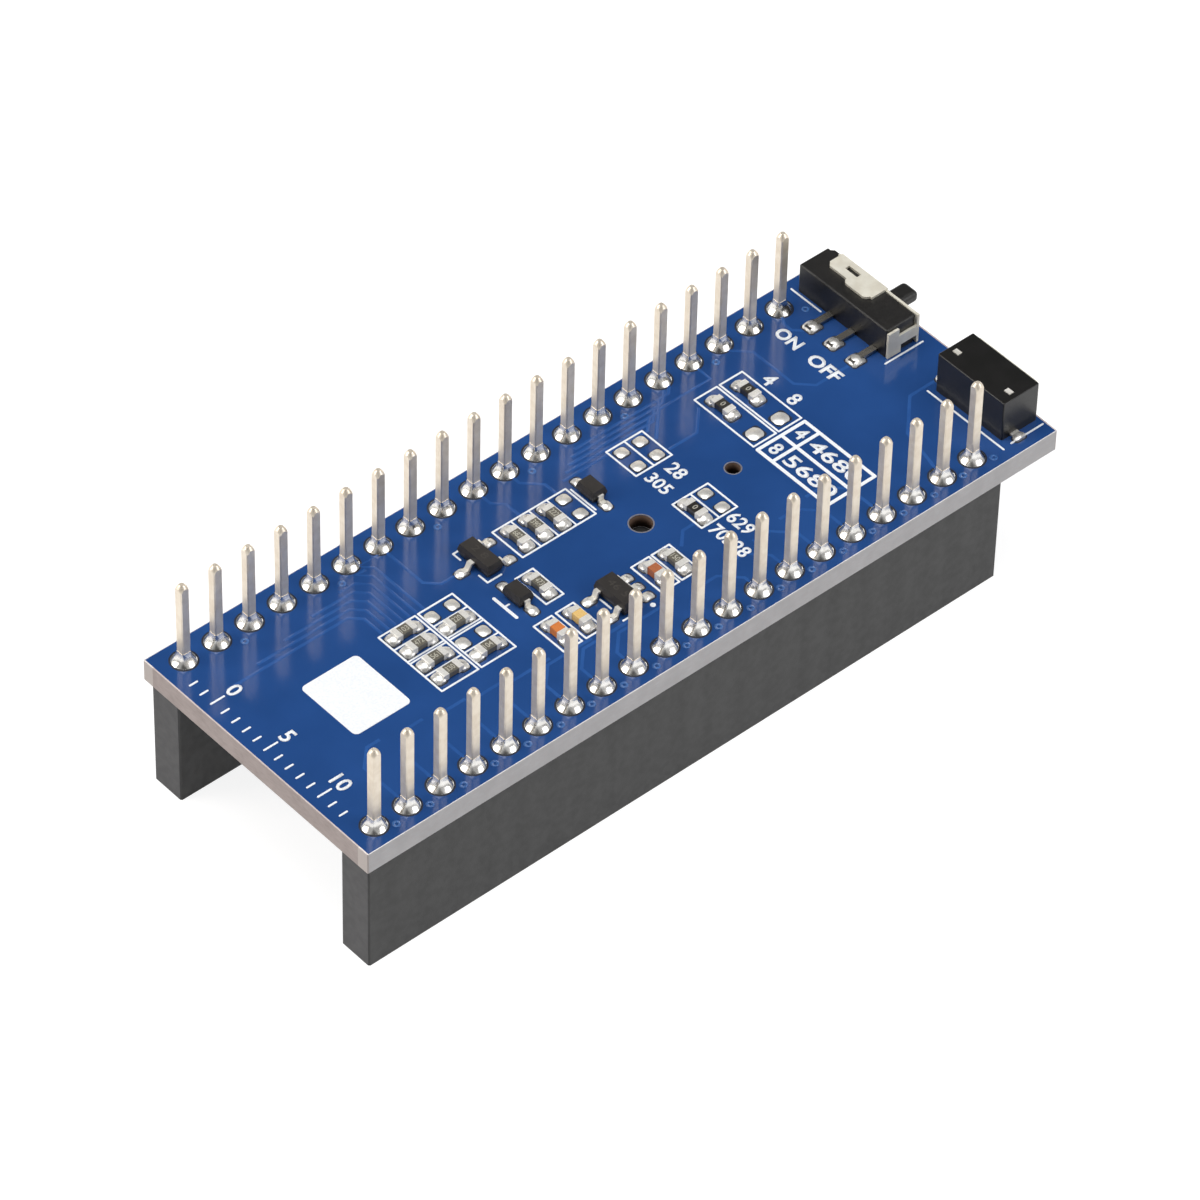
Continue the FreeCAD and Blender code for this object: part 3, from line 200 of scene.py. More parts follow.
def epoxy_mask_on_glass_laminate(name):
    """Glossy blue epoxy mask over woven glass laminate, whose sawn edge and thin rim are pale and dry."""
    mask_depth, end_rim, side_rim, corner_reach = 0.03 * MM, 0.1 * MM, 0.06 * MM, 0.9 * MM
    material, tree, output, place = new_material(name)
    along = add(tree, "ShaderNodeSeparateXYZ", {"Vector": place}).outputs
    on_face = beyond(tree, along["Z"], board_low.z, board_high.z, mask_depth)
    off_ends = beyond(tree, along["X"], board_low.x, board_high.x, end_rim)
    off_sides = beyond(tree, along["Y"], board_low.y, board_high.y, side_rim)
    rim = reckon(tree, "MAXIMUM", off_ends, off_sides)
    masked = reckon(tree, "SUBTRACT", on_face, rim, use_clamp=True)

    blue = mix_hues(tree, spread(tree, noise(tree, place, 7, 3), 0, 1), hue("#1F437B"), hue("#244A86"))
    blotch = spread(tree, noise(tree, place, 1.1, 3), 0, 1)
    # Painted light: the long sawn edges are painted paler than the sawn ends, to even out the light on each.
    long_cut_painted_lighter = mix_hues(tree, blotch, hue("#DAD9DB"), hue("#E4E3E5"))
    end_cut_painted_darker = mix_hues(tree, blotch, hue("#B6AAA8"), hue("#C3B7B5"))
    # The ends turn paler within 0.9 mm of the corners, towards the colour of the long edges.
    near_corners = beyond(tree, along["Y"], board_low.y, board_high.y, corner_reach)
    end_cut_painted_darker = mix_hues(tree, near_corners, end_cut_painted_darker, hue("#DAD2CF"))
    sawn = mix_hues(tree, off_ends, long_cut_painted_lighter, end_cut_painted_darker)
    plies = spread(tree, noise(tree, place, 0.5, 2, stretch=(1, 1, 0.2)), 0, 0.3)
    sawn = mix_hues(tree, plies, sawn, hue("#DACFCF"))
    base = mix_hues(tree, masked, sawn, blue)

    # The real threads lie 0.5 mm apart, which is too fine to show, so they are drawn 3.14 mm apart
    threads = 2 * math.pi / WAVE_RADIANS * per_mm(3.14)
    weave = [add(tree, "ShaderNodeTexWave", {"Vector": place, "Scale": threads, "Distortion": 0.4},
                 bands_direction=axis).outputs["Fac"] for axis in "XY"]
    bumps = relief(tree, reckon(tree, "MULTIPLY", *weave), 0.0012)
    bumps = relief(tree, noise(tree, place, 2.5, 2), 0.01, under=bumps)
    rough = spread(tree, masked, 0.8, 0.14, 0, 1)
    finish_material(tree, output, {"Base Color": base, "Roughness": rough, "Normal": bumps, "IOR": 1.5})
    return material


def mask_over_copper(name, dark="#264E8C", light="#2B5595"):
    """The same blue mask where it lies on copper: a little lighter, and as glossy."""
    material, tree, output, place = new_material(name)
    base = mix_hues(tree, spread(tree, noise(tree, place, 3, 2), 0, 1), hue(dark), hue(light))
    bumps = relief(tree, noise(tree, place, 0.5, 2), 0.002)
    finish_material(tree, output, {"Base Color": base, "Roughness": 0.16, "IOR": 1.5, "Normal": bumps})
    return material


def bare_laminate(name, dark, light):
    """Uncoated laminate in a gap of the mask: dull, and painted near black as shade in the narrow ditch
    round a bright pad.
    """
    material, tree, output, place = new_material(name)
    base = mix_hues(tree, noise(tree, place, 0.3, 2), hue(dark), hue(light))
    finish_material(tree, output, {"Base Color": base, "Roughness": 0.6})
    return material


def moulded_nylon(name):
    """Glass-filled nylon from a mould: dull charcoal, faint bands between the ways, and ends painted paler
    as light.
    """
    material, tree, output, place = new_material(name)
    across = add(tree, "ShaderNodeSeparateXYZ", {"Vector": place}).outputs["X"]
    wave = reckon(tree, "COSINE", reckon(tree, "MULTIPLY", across, 2 * math.pi / PIN_PITCH))
    band = spread(tree, wave, 0, 1, -1, 1)
    streaks = spread(tree, noise(tree, place, 0.8, 2, stretch=(1, 1, 25)), 0, 1)
    cloud = mix_hues(tree, streaks, hue("#4C4C4C"), hue("#505050"))
    base = mix_hues(tree, band, cloud, hue("#525252"))
    header_low, header_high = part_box("socket_header_near")
    lit_end_depth = 0.03 * MM
    # Painted light: the end faces are painted a shade paler than the long faces.
    ends = beyond(tree, across, header_low.x, header_high.x, lit_end_depth)
    base = mix_hues(tree, ends, base, hue("#555557"))
    bumps = relief(tree, band, 0.012)
    bumps = relief(tree, noise(tree, place, 0.09, 2), 0.005, under=bumps)
    rough = spread(tree, noise(tree, place, 0.5, 2), 0.5, 0.6)
    finish_material(tree, output, {
        "Base Color": base, "Roughness": rough, "Normal": bumps, "IOR": 1.53, "Specular IOR Level": 0.3,
    })
    return material


def tin_plated_drawn_brass(name):
    """Square drawn wire under matt tin: warm pale metal, whose fine lines along the pin blur reflections."""
    material, tree, output, place = new_material(name)
    lines = noise(tree, place, 0.07, 2, stretch=(1, 1, 30))
    cloud = noise(tree, place, 0.6, 2)
    base = mix_hues(tree, spread(tree, cloud, 0, 1), hue("#EADDCA"), hue("#F4E9D8"))
    finish_material(tree, output, {
        "Base Color": base, "Metallic": 0.68, "Roughness": spread(tree, lines, 0.32, 0.44),
        "Normal": relief(tree, lines, 0.0015),
    })
    return material


def solidified_solder(name, rough=(0.15, 0.25), metal=1.0):
    """Solder that froze from liquid: a bright, smooth metal skin with very shallow dimples."""
    material, tree, output, place = new_material(name)
    skin = noise(tree, place, 0.5, 2)
    base = mix_hues(tree, spread(tree, noise(tree, place, 0.5, 1), 0, 1), hue("#DAD8D4"), hue("#EFEDE9"))
    finish_material(tree, output, {
        "Base Color": base, "Metallic": metal, "Roughness": spread(tree, skin, *rough),
        "Normal": relief(tree, skin, 0.006),
    })
    return material


def matt_tin(name, metal, rough):
    """Matt tin on a chip's end or on a bare pad: a grainy grey-white metal without a sharp reflection."""
    material, tree, output, place = new_material(name)
    grain = noise(tree, place, 0.07, 2)
    base = mix_hues(tree, spread(tree, grain, 0, 1), hue("#DAD8D3"), hue("#ECEAE6"))
    finish_material(tree, output, {
        "Base Color": base, "Metallic": metal, "Roughness": rough, "Normal": relief(tree, grain, 0.004),
    })
    return material


def grained_resin(name, dark, light, rough, grain_mm=0.12, depth_mm=0.003, gloss=0.5):
    """Moulded plastic or cured resin: an even colour, with a fine grain that dulls its reflections."""
    material, tree, output, place = new_material(name)
    base = mix_hues(tree, spread(tree, noise(tree, place, 1.5, 2), 0, 1), hue(dark), hue(light))
    grain = noise(tree, place, grain_mm, 2)
    finish_material(tree, output, {
        "Base Color": base, "Roughness": spread(tree, grain, rough - 0.04, rough + 0.06),
        "Normal": relief(tree, grain, depth_mm), "IOR": 1.5, "Specular IOR Level": gloss,
    })
    return material


def plated_sheet(name, dark, light, rough=(0.3, 0.45), metal=1.0, rolled=(1, 14, 1)):
    """Stamped or drawn sheet under thin plating: satin, faint rolling lines, and duller with less metal."""
    material, tree, output, place = new_material(name)
    lines = noise(tree, place, 0.1, 2, stretch=rolled)
    base = mix_hues(tree, spread(tree, noise(tree, place, 0.8, 2), 0, 1), hue(dark), hue(light))
    finish_material(tree, output, {
        "Base Color": base, "Metallic": metal, "Roughness": spread(tree, lines, *rough),
        "Normal": relief(tree, lines, 0.002),
    })
    return material


def fired_ceramic(name, dark, light, rough=0.45):
    """Sintered ceramic, or a dense white moulding: an even body colour with fine grains and a soft sheen."""
    material, tree, output, place = new_material(name)
    grain = noise(tree, place, 0.08, 3)
    base = mix_hues(tree, spread(tree, grain, 0, 1), hue(dark), hue(light))
    finish_material(tree, output, {
        "Base Color": base, "Roughness": rough, "Normal": relief(tree, grain, 0.004), "IOR": 1.6,
    })
    return material


def printed_or_burnt(name, dark, light):
    """Screen-printed epoxy ink, or a laser's mark: opaque and dull, with faint traces of mesh or beam."""
    material, tree, output, place = new_material(name)
    traces = noise(tree, place, 0.15, 2)
    base = mix_hues(tree, spread(tree, traces, 0, 1), hue(dark), hue(light))
    finish_material(tree, output, {
        "Base Color": base, "Roughness": 0.5, "Normal": relief(tree, traces, 0.004), "IOR": 1.5,
    })
    return material


def phosphor_resin(name):
    """Clear resin over yellow phosphor, as on a small white lamp."""
    material, tree, output, place = new_material(name)
    base = mix_hues(tree, noise(tree, place, 0.4, 2), hue("#E9DC94"), hue("#F3EBC2"))
    finish_material(tree, output, {
        "Base Color": base, "Roughness": 0.18, "IOR": 1.5,
        "Subsurface Weight": 0.2, "Subsurface Radius": (MM, MM, 0.4 * MM), "Subsurface Scale": 0.3,
    })
    return material


MASK = epoxy_mask_on_glass_laminate("blue_epoxy_mask_on_glass_laminate")
TRACK = mask_over_copper("blue_epoxy_mask_over_copper")
TENTED = mask_over_copper("thin_blue_mask_over_a_plated_hole", "#2F5E9F", "#3A69A9")
# Painted shade: the gaps of the mask round pads and joints are painted near black, as the shade in them.
PAINTED_SHADE_GAP = bare_laminate("bare_laminate_painted_dark_as_shade", "#0B1424", "#121E34")
BARE_RIM = bare_laminate("drilled_laminate_rim", "#62646F", "#7A7880")
NYLON = moulded_nylon("moulded_glass_filled_nylon")
TIN = tin_plated_drawn_brass("tin_plated_drawn_brass")
SOLDER = solidified_solder("solidified_tin_solder")
PASTE_SOLDER = solidified_solder("reflowed_solder_paste", (0.24, 0.34), 0.7)
SWITCH_BLACK = grained_resin("moulded_satin_black_polyamide", "#0E0D0C", "#161413", 0.42, 0.12, 0.006, 0.5)
BUTTON_BLACK = grained_resin("moulded_smooth_black_nylon", "#0F0F0E", "#161515", 0.32, 0.1, 0.004, 0.5)
EPOXY_BLACK = grained_resin("moulded_black_epoxy", "#1E1B19", "#272321", 0.45, 0.07, 0.006)
HOLDER_BLACK = grained_resin("moulded_black_liquid_crystal_polymer", "#1C1C1C", "#262626", 0.5, 0.15, 0.008)
PLATED = plated_sheet("stamped_matt_tinned_sheet", "#DCD7C8", "#E9E6D9", (0.4, 0.5), 0.35)
LEADS = plated_sheet("tin_plated_copper_leads", "#DAD7CE", "#EDEAE4", (0.35, 0.45), 0.45)
# Painted reflection: the terminals are painted a darker grey, for the black housing that they mirror.
SWITCH_LEADS = plated_sheet("bright_tinned_brass_terminals_painted_darker_as_reflection", "#96938D", "#AEABA4", (0.2, 0.28), 0.9,
                            rolled=(14, 1, 1))
CONTACT = plated_sheet("stamped_nickel_plated_spring", "#D3CFC2", "#E4E0D4")
SHIELD = plated_sheet("drawn_nickel_silver", "#C6C4BC", "#D8D6CF", (0.28, 0.4))
STEEL = plated_sheet("drawn_stainless_steel", "#C9C9C8", "#DCDCDA", (0.22, 0.34))
GOLD = plated_sheet("gold_plated_brass", "#D9B254", "#E9CB7C", (0.2, 0.3))
TERMINATION = matt_tin("fired_tin_chip_termination", 0.4, 0.4)
TINNED_PAD = matt_tin("hot_air_levelled_tin_on_copper", 0.6, 0.3)
RESISTOR = fired_ceramic("glazed_grey_resistor_film", "#57544B", "#666258", 0.35)
LINK = fired_ceramic("glazed_black_link_film", "#1F1D1A", "#2A2723", 0.3)
ORANGE = fired_ceramic("orange_capacitor_ceramic", "#C26C2C", "#D07A35")
TAN = fired_ceramic("tan_capacitor_ceramic", "#D2AC62", "#E0BD79")
BROWN = fired_ceramic("brown_capacitor_ceramic", "#9A5530", "#AD6338")
ALUMINA = fired_ceramic("white_alumina", "#DEDDD6", "#EDECE6")
INSULATOR = fired_ceramic("moulded_white_insulator", "#E2DED2", "#EEEADF", 0.4)
MODULE_MASK = grained_resin("green_module_mask", "#163524", "#1D4430", 0.35)
PHOSPHOR = phosphor_resin("resin_over_yellow_phosphor")
INK = printed_or_burnt("screen_printed_white_epoxy_ink", "#E2E6EB", "#ECEFF3")
FAINT_INK = printed_or_burnt("laser_scorched_epoxy_marks", "#302C29", "#383430")
ETCHED = printed_or_burnt("laser_etched_steel_marks", "#77756F", "#85837C")
PALE_INK = printed_or_burnt("laser_printed_pale_grey_marks", "#A8A598", "#B8B5A8")
# Painted shade: a dark brown lining on the walls of the two holes, for the shade deep inside them.
HOLE_WALL = grained_resin("hole_lining_painted_dark_as_shade", "#4C3B31", "#5E4B40", 0.7, gloss=0.2)

NODE_FINISH = {
    "circuit_board": MASK,
    "socket_header_near": NYLON,
    "socket_header_far": NYLON,
    "header_pins_near": TIN,
    "header_pins_far": TIN,
    "pin_solder_joints_near": SOLDER,
    "pin_solder_joints_far": SOLDER,
    "slide_switch_housing": SWITCH_BLACK,
    "slide_switch_cover": PLATED,
    "slide_switch_terminals": SWITCH_LEADS,
    "slide_switch_lever": SWITCH_BLACK,
    "slide_switch_contact_bridge": GOLD,
    "push_button_housing": BUTTON_BLACK,
    "push_button_front_plate": PLATED,
    "push_button_terminals": LEADS,
    "push_button_plunger": BUTTON_BLACK,
    "push_button_snap_dome": STEEL,
    "switch_and_button_solder": PASTE_SOLDER,
    "chip_resistor_bodies": RESISTOR,
    "chip_resistor_end_caps": TERMINATION,
    "jumper_link_bodies": LINK,
    "jumper_link_end_caps": TERMINATION,
    "input_capacitor_body": ORANGE,
    "bypass_capacitor_body": TAN,
    "output_capacitor_body": BROWN,
    "capacitor_end_caps": TERMINATION,
    "tinned_pads": TINNED_PAD,
    "surface_solder": PASTE_SOLDER,
    "transistor_body": EPOXY_BLACK,
    "transistor_leads": LEADS,
    "regulator_body": EPOXY_BLACK,
    "regulator_leads": LEADS,
    "diode_bodies": EPOXY_BLACK,
    "diode_leads": LEADS,
    "receiver_module_board": MODULE_MASK,
    "receiver_module_edge_contacts": PASTE_SOLDER,
    "receiver_module_shield": SHIELD,
    "coin_cell_holder": HOLDER_BLACK,
    "coin_cell_positive_contact": CONTACT,
    "coin_cell_negative_contact": CONTACT,
    "coin_cell": STEEL,
    "antenna_connector_shell": GOLD,
    "antenna_connector_base": INSULATOR,
    "antenna_connector_pin": GOLD,
    "status_lamp_bases": ALUMINA,
    "status_lamp_lenses": PHOSPHOR,
    "underside_chip_bodies": RESISTOR,
    "underside_chip_end_caps": TERMINATION,
    "underside_chip_solder": PASTE_SOLDER,
    "antenna_amplifier": EPOXY_BLACK,
}


def dress_frame():
    for name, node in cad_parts.items():
        node.data.materials.clear()
        node.data.materials.append(NODE_FINISH[name])


# Mesh helpers

def piece_from(mesh, name):
    """Makes a finished mesh a piece of the object, which rides on the board."""
    piece = bpy.data.objects.new(name, mesh)
    bpy.context.scene.collection.objects.link(piece)
    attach(piece, ROOT)


def lumps(name):
    """The box in X and Y round each separate lump of a node, in mm: x0, x1, y0, y1."""
    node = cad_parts[name]
    mesh = bmesh.new()
    mesh.from_mesh(node.data)
    mesh.transform(node.matrix_world)
    bmesh.ops.remove_doubles(mesh, verts=mesh.verts, dist=SAME_POINT)
    met = set()
    boxes = []
    for seed in mesh.verts:
        if seed in met:
            continue
        met.add(seed)
        lump = [seed]
        for vertex in lump:
            for edge in vertex.link_edges:
                other = edge.other_vert(vertex)
                if other not in met:
                    met.add(other)
                    lump.append(other)
        xs = [vertex.co.x / MM for vertex in lump]
        ys = [vertex.co.y / MM for vertex in lump]
        boxes.append((min(xs), max(xs), min(ys), max(ys)))
    mesh.free()
    return boxes


class FlatPrint:
    """Thin raised shapes on a flat face, gathered in one mesh. Their places and sizes are given in mm."""

    # Each shape is a hair higher than the last, so that shapes which cross don't share a face
    LAYER_STEP = 1e-7
    END_STEPS = 8
    CORNER_STEPS = 6
    DISC_SIDES = 28
    LETTER_STEPS = 3
    # The height of a capital where the size of the letters is 1, roughly
    CAPITAL = 0.7

    def __init__(self, base_z, thickness_mm, facing=1):
        self.mesh = bmesh.new()
        self.base_z = base_z
        self.thickness = thickness_mm * MM
        self.facing = facing
        self.layer = 0

    def next_top(self):
        self.layer += 1
        return self.base_z + self.facing * (self.thickness + self.layer * self.LAYER_STEP)

    def polygon(self, points):
        top = self.next_top()
        low = [self.mesh.verts.new((x * MM, y * MM, self.base_z)) for x, y in points]
        high = [self.mesh.verts.new((x * MM, y * MM, top)) for x, y in points]
        self.mesh.faces.new(high)
        self.mesh.faces.new(low[::-1])
        for i in range(len(points)):
            j = (i + 1) % len(points)
            self.mesh.faces.new((low[i], low[j], high[j], high[i]))

    def stroke(self, start, end, width):
        """A line with round ends."""
        angle = math.atan2(end[1] - start[1], end[0] - start[0])
        points = []
        for centre, turn in ((end, angle - math.pi / 2), (start, angle + math.pi / 2)):
            for step in range(self.END_STEPS + 1):
                a = turn + math.pi * step / self.END_STEPS
                points.append((centre[0] + width / 2 * math.cos(a), centre[1] + width / 2 * math.sin(a)))
        self.polygon(points)

    def path(self, points, width, closed=False):
        ends = points[1:] + points[:1] if closed else points[1:]
        for start, end in zip(points, ends):
            self.stroke(start, end, width)

    def frame(self, x0, x1, y0, y1, width):
        self.path([(x0, y0), (x1, y0), (x1, y1), (x0, y1)], width, closed=True)

    def disc(self, x, y, radius):
        turns = [2 * math.pi * i / self.DISC_SIDES for i in range(self.DISC_SIDES)]
        self.polygon([(x + radius * math.cos(a), y + radius * math.sin(a)) for a in turns])

    def rounded_panel(self, x0, x1, y0, y1, radius):
        points = []
        for cx, cy, turn in ((x1 - radius, y1 - radius, 0), (x0 + radius, y1 - radius, 1),
                             (x0 + radius, y0 + radius, 2), (x1 - radius, y0 + radius, 3)):
            for step in range(self.CORNER_STEPS + 1):
                a = math.pi / 2 * (turn + step / self.CORNER_STEPS)
                points.append((cx + radius * math.cos(a), cy + radius * math.sin(a)))
        self.polygon(points)

    def text(self, words, x, y, height, length=None, turn=-90, bold=0.03):
        """Plain letters or numbers centred on a point and read along the turn, in degrees."""
        data = bpy.data.curves.new("lettering", "FONT")
        data.body = words
        data.size = 1
        data.offset = self.CAPITAL * bold / height
        data.resolution_u = self.LETTER_STEPS
        letters = bpy.data.objects.new("lettering", data)
        flat = bpy.data.meshes.new_from_object(letters)
        xs = [v.co.x for v in flat.vertices]
        ys = [v.co.y for v in flat.vertices]
        tall = height * MM / (max(ys) - min(ys))
        wide = length * MM / (max(xs) - min(xs)) if length else tall
        flat.transform(Matrix.Translation((-(max(xs) + min(xs)) / 2, -(max(ys) + min(ys)) / 2, 0)))
        flat.transform(Matrix.Translation((x * MM, y * MM, 0)) @ Matrix.Rotation(math.radians(turn), 4, "Z")
                       @ Matrix.Diagonal((self.facing * wide, tall, 1, 1)))
        outline = bmesh.new()
        outline.from_mesh(flat)
        bmesh.ops.remove_doubles(outline, verts=outline.verts, dist=SAME_POINT)
        top = self.next_top()
        for vertex in outline.verts:
            vertex.co.z = self.base_z
        raised = bmesh.ops.extrude_face_region(outline, geom=outline.faces[:])
        for part in raised["geom"]:
            if isinstance(part, bmesh.types.BMVert):
                part.co.z = top
        bmesh.ops.recalc_face_normals(outline, faces=outline.faces)
        outline.to_mesh(flat)
        self.mesh.from_mesh(flat)
        outline.free()
        bpy.data.objects.remove(letters)
        bpy.data.curves.remove(data)
        bpy.data.meshes.remove(flat)

    def finish(self, name, material):
        bmesh.ops.recalc_face_normals(self.mesh, faces=self.mesh.faces)
        mesh = bpy.data.meshes.new(name)
        self.mesh.to_mesh(mesh)
        self.mesh.free()
        mesh.materials.append(material)
        piece_from(mesh, name)


# Printed legend on the two faces, in mm

# How high each kind of print or mark stands
INK_MM = 0.02
MARK_MM = 0.004
GAP_MM = 0.003
CELL_MARK_MM = 0.01
SHIELD_MARK_MM = 0.006

# How wide the lines are
LINE_MM = 0.13
FINE_LINE_MM = 0.12
MARK_LINE_MM = 0.22
TABLE_LINE_MM = 0.24
CELL_LINE_MM = 0.5

# How far the gap of the mask reaches beyond a pad, and the radius of its corners
MASK_GAP_MM = 0.08
MASK_CORNER_MM = 0.24


def print_top_legend():
    ink = FlatPrint(BOARD_TOP, INK_MM)

    # Bank of eight resistor places in two framed columns
    low, high = -3.08, 2.82
    for x0, x1 in ((-13.98, -11.1), (-10.86, -8.15)):
        ink.frame(x0, x1, low, high, LINE_MM)
        for y in (1.39, -0.1, 0.1, -1.5):
            ink.stroke((x0, y), (x1, y), FINE_LINE_MM)

    # Row of four places along the middle
    low, high = 2.42, 5.27
    ink.frame(-2.85, 3.08, low, high, LINE_MM)
    for x in (-1.36, 0.08, 1.53):
        ink.stroke((x, low), (x, high), FINE_LINE_MM)
    ink.stroke((3.3, 2.7), (3.3, 5.0), LINE_MM)

    # Marks round the small packages
    ink.path([(-5.13, 5.38), (-5.9, 5.38), (-5.9, 4.7)], LINE_MM)
    ink.path([(-5.9, 2.95), (-5.9, 2.15), (-4.8, 2.15)], LINE_MM)
    ink.stroke((-6.5, 0.85), (-6.5, -1.25), MARK_LINE_MM)
    ink.stroke((-6.5, -0.1), (-6.12, -0.1), LINE_MM)
    ink.frame(-4.4, -3.0, -1.55, 1.3, LINE_MM)
    ink.path([(-1.62, -3.35), (-1.62, -4.35)], LINE_MM)
    ink.stroke((-1.75, -5.62), (-1.3, -5.62), LINE_MM)
    ink.disc(0.52, -5.76, 0.18)

    # Frames of the three capacitors and the chip at their right
    low, high = -5.3, -2.5
    for x, half in ((-5.5, 0.72), (-3.75, 0.7), (2.35, 0.72), (4.0, 0.72)):
        ink.frame(x - half, x + half, low, high, LINE_MM)

    # Jumper blocks, each with a line down its middle and two numbers below it
    low, high = 3.3, 6.1
    ink.frame(7.15, 10.1, low, high, LINE_MM)
    ink.stroke((8.63, low), (8.63, high), LINE_MM)
    ink.text("28", 9.38, 2.05, 1.05, 1.35)
    ink.text("305", 7.8, 1.9, 0.98, 1.9)
    low, high = -2.72, -0.02
    ink.frame(7.2, 10.12, low, high, LINE_MM)
    ink.stroke((8.65, low), (8.65, high), LINE_MM)
    ink.text("629", 9.33, -3.95, 1.05, 1.95)
    ink.text("70528", 7.8, -4.65, 1.0, 3.2)

    # Selector block: two framed columns, then a table of contact numbers with a head
    low, high = 0.58, 6.08
    ink.frame(14.45, 16.33, low, high, LINE_MM)
    ink.frame(16.56, 18.46, low, high, LINE_MM)
    left, middle, right = 14.45, 16.46, 18.42
    low, head, high = -6.2, -1.15, 0.22
    ink.frame(left, right, low, high, TABLE_LINE_MM)
    ink.stroke((middle, high), (middle, low), TABLE_LINE_MM)
    ink.stroke((left, head), (right, head), TABLE_LINE_MM)
    ink.text("4", 17.5, -0.47, 1.05)
    ink.text("8", 15.4, -0.47, 1.05)
    ink.text("4680", 17.45, -3.65, 1.08, 4.3)
    ink.text("5680", 15.4, -3.65, 1.08, 4.3)
    ink.text("4", 19.27, 4.42, 1.1)
    ink.text("8", 19.27, 2.1, 1.1)

    # Names of the switch's two ends, and lines beside the switch and the button
    ink.text("ON", 22.73, 6.43, 1.02, 2.05, bold=0.05)
    ink.text("OFF", 22.65, 3.0, 1.05, 2.68, bold=0.05)
    ink.stroke((25.95, 7.0), (25.95, 9.75), LINE_MM)
    ink.stroke((25.8, 0.82), (29.0, 0.82), LINE_MM)
    ink.stroke((26.15, -2.7), (26.15, -9.6), LINE_MM)
    ink.stroke((26.9, -9.5), (29.6, -9.5), LINE_MM)

    # Write-on panel and a millimetre scale at the left-hand end, where every fifth line is longer
    ink.rounded_panel(-20.3, -15.9, -2.6, 2.6, 0.35)
    start, short_line, long_line = -25.2, 0.55, 1.0
    for y in range(-7, 8):
        reach = long_line if y % 5 == 0 else short_line
        ink.stroke((start, y), (start + reach, y), LINE_MM)
    for number, y in (("0", 5), ("5", 0), ("10", -5)):
        ink.text(number, -23.4, y, 1.1)
    ink.finish("top_legend_print", INK)


CHIP_MARKS = ("103", "472", "220", "561", "330", "104", "682", "390", "222", "473", "150")


def print_chip_marks():
    """Three small digits on each resistor and a nought on each link, read along the chip."""
    height, digit_width, widest = 0.42, 0.26, 0.62
    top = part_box("chip_resistor_bodies")[1].z
    ink = FlatPrint(top, MARK_MM)
    marks = list(zip(lumps("chip_resistor_bodies"), CHIP_MARKS))
    marks += [(box, "0") for box in lumps("jumper_link_bodies")]
    for (x0, x1, y0, y1), digits in marks:
        turn = 0 if x1 - x0 > y1 - y0 else -90
        width = min(widest, digit_width * len(digits))
        ink.text(digits, (x0 + x1) / 2, (y0 + y1) / 2, height, width, turn, bold=0.008)
    ink.finish("chip_marks", PALE_INK)


def print_package_marks():
    """Fine numbers on the moulded packages, a shade lighter than the epoxy."""
    for name, digits, length in (("transistor_body", "2 8", 1.3), ("regulator_body", "46 5", 1.7)):
        low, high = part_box(name)
        ink = FlatPrint(high.z, MARK_MM)
        middle = (low + high) / (2 * MM)
        ink.text(digits, middle.x, middle.y, 0.5, length, -90, bold=0.0)
        ink.finish(name + "_marks", FAINT_INK)


def mask_gaps_round_solder():
    """The narrow gap of the mask round every soldered or tinned pad of the top face, painted near black as
    shade.
    """
    gap = MASK_GAP_MM
    gaps = FlatPrint(BOARD_TOP, GAP_MM)
    for name in ("surface_solder", "tinned_pads", "switch_and_button_solder"):
        for x0, x1, y0, y1 in lumps(name):
            gaps.rounded_panel(x0 - gap, x1 + gap, y0 - gap, y1 + gap, MASK_CORNER_MM)
    gaps.finish("mask_gaps_round_solder", PAINTED_SHADE_GAP)


def print_under_legend():
    """Frames and numbers round the parts on the underside, and the plus sign on the coin cell."""
    ink = FlatPrint(BOARD_UNDER, INK_MM, facing=-1)
    for name, margin in (("receiver_module_board", 0.35), ("coin_cell_holder", 0.3),
                         ("antenna_connector_shell", 0.3), ("antenna_amplifier", 0.3)):
        low, high = (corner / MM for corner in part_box(name))
        ink.frame(low.x - margin, high.x + margin, low.y - margin, high.y + margin, LINE_MM)
    margin = 0.25
    for i, (x0, x1, y0, y1) in enumerate(lumps("status_lamp_bases")):
        ink.frame(x0 - margin, x1 + margin, y0 - margin, y1 + margin, LINE_MM)
        ink.text(str(i + 2), x1 + 1.2, (y0 + y1) / 2, 1.0, turn=0)
    margin = 0.3
    for x0, x1, y0, y1 in lumps("underside_chip_bodies"):
        ink.stroke((x0, y0 - margin), (x1, y0 - margin), LINE_MM)
        ink.stroke((x0, y1 + margin), (x1, y1 + margin), LINE_MM)
    ink.disc(-15.5, 5.2, 0.2)
    ink.text("28", -22.6, 3.2, 1.2, turn=0)
    ink.text("640", -22.6, -3.2, 1.2, turn=0)
    ink.stroke((-1.2, 3.2), (0.2, 3.2), MARK_LINE_MM)
    ink.stroke((-0.5, 2.5), (-0.5, 3.9), MARK_LINE_MM)
    ink.finish("underside_legend_print", INK)

    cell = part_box("coin_cell")[0].z
    etched = FlatPrint(cell, CELL_MARK_MM, facing=-1)
    etched.stroke((10.2, 0.0), (12.6, 0.0), CELL_LINE_MM)
    etched.stroke((11.4, -1.2), (11.4, 1.2), CELL_LINE_MM)
    etched.text("3 0", 9.4, -4.1, 1.3, turn=0)
    etched.finish("coin_cell_marks", ETCHED)

    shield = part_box("receiver_module_shield")[0].z
    etched = FlatPrint(shield, SHIELD_MARK_MM, facing=-1)
    etched.text("28 46", -9.5, 3.1, 1.1, 5.0, turn=0)
    etched.text("0529 7", -9.5, -3.1, 0.9, 4.6, turn=0)
    etched.finish("shield_marks", ETCHED)


# Geometry Nodes helpers

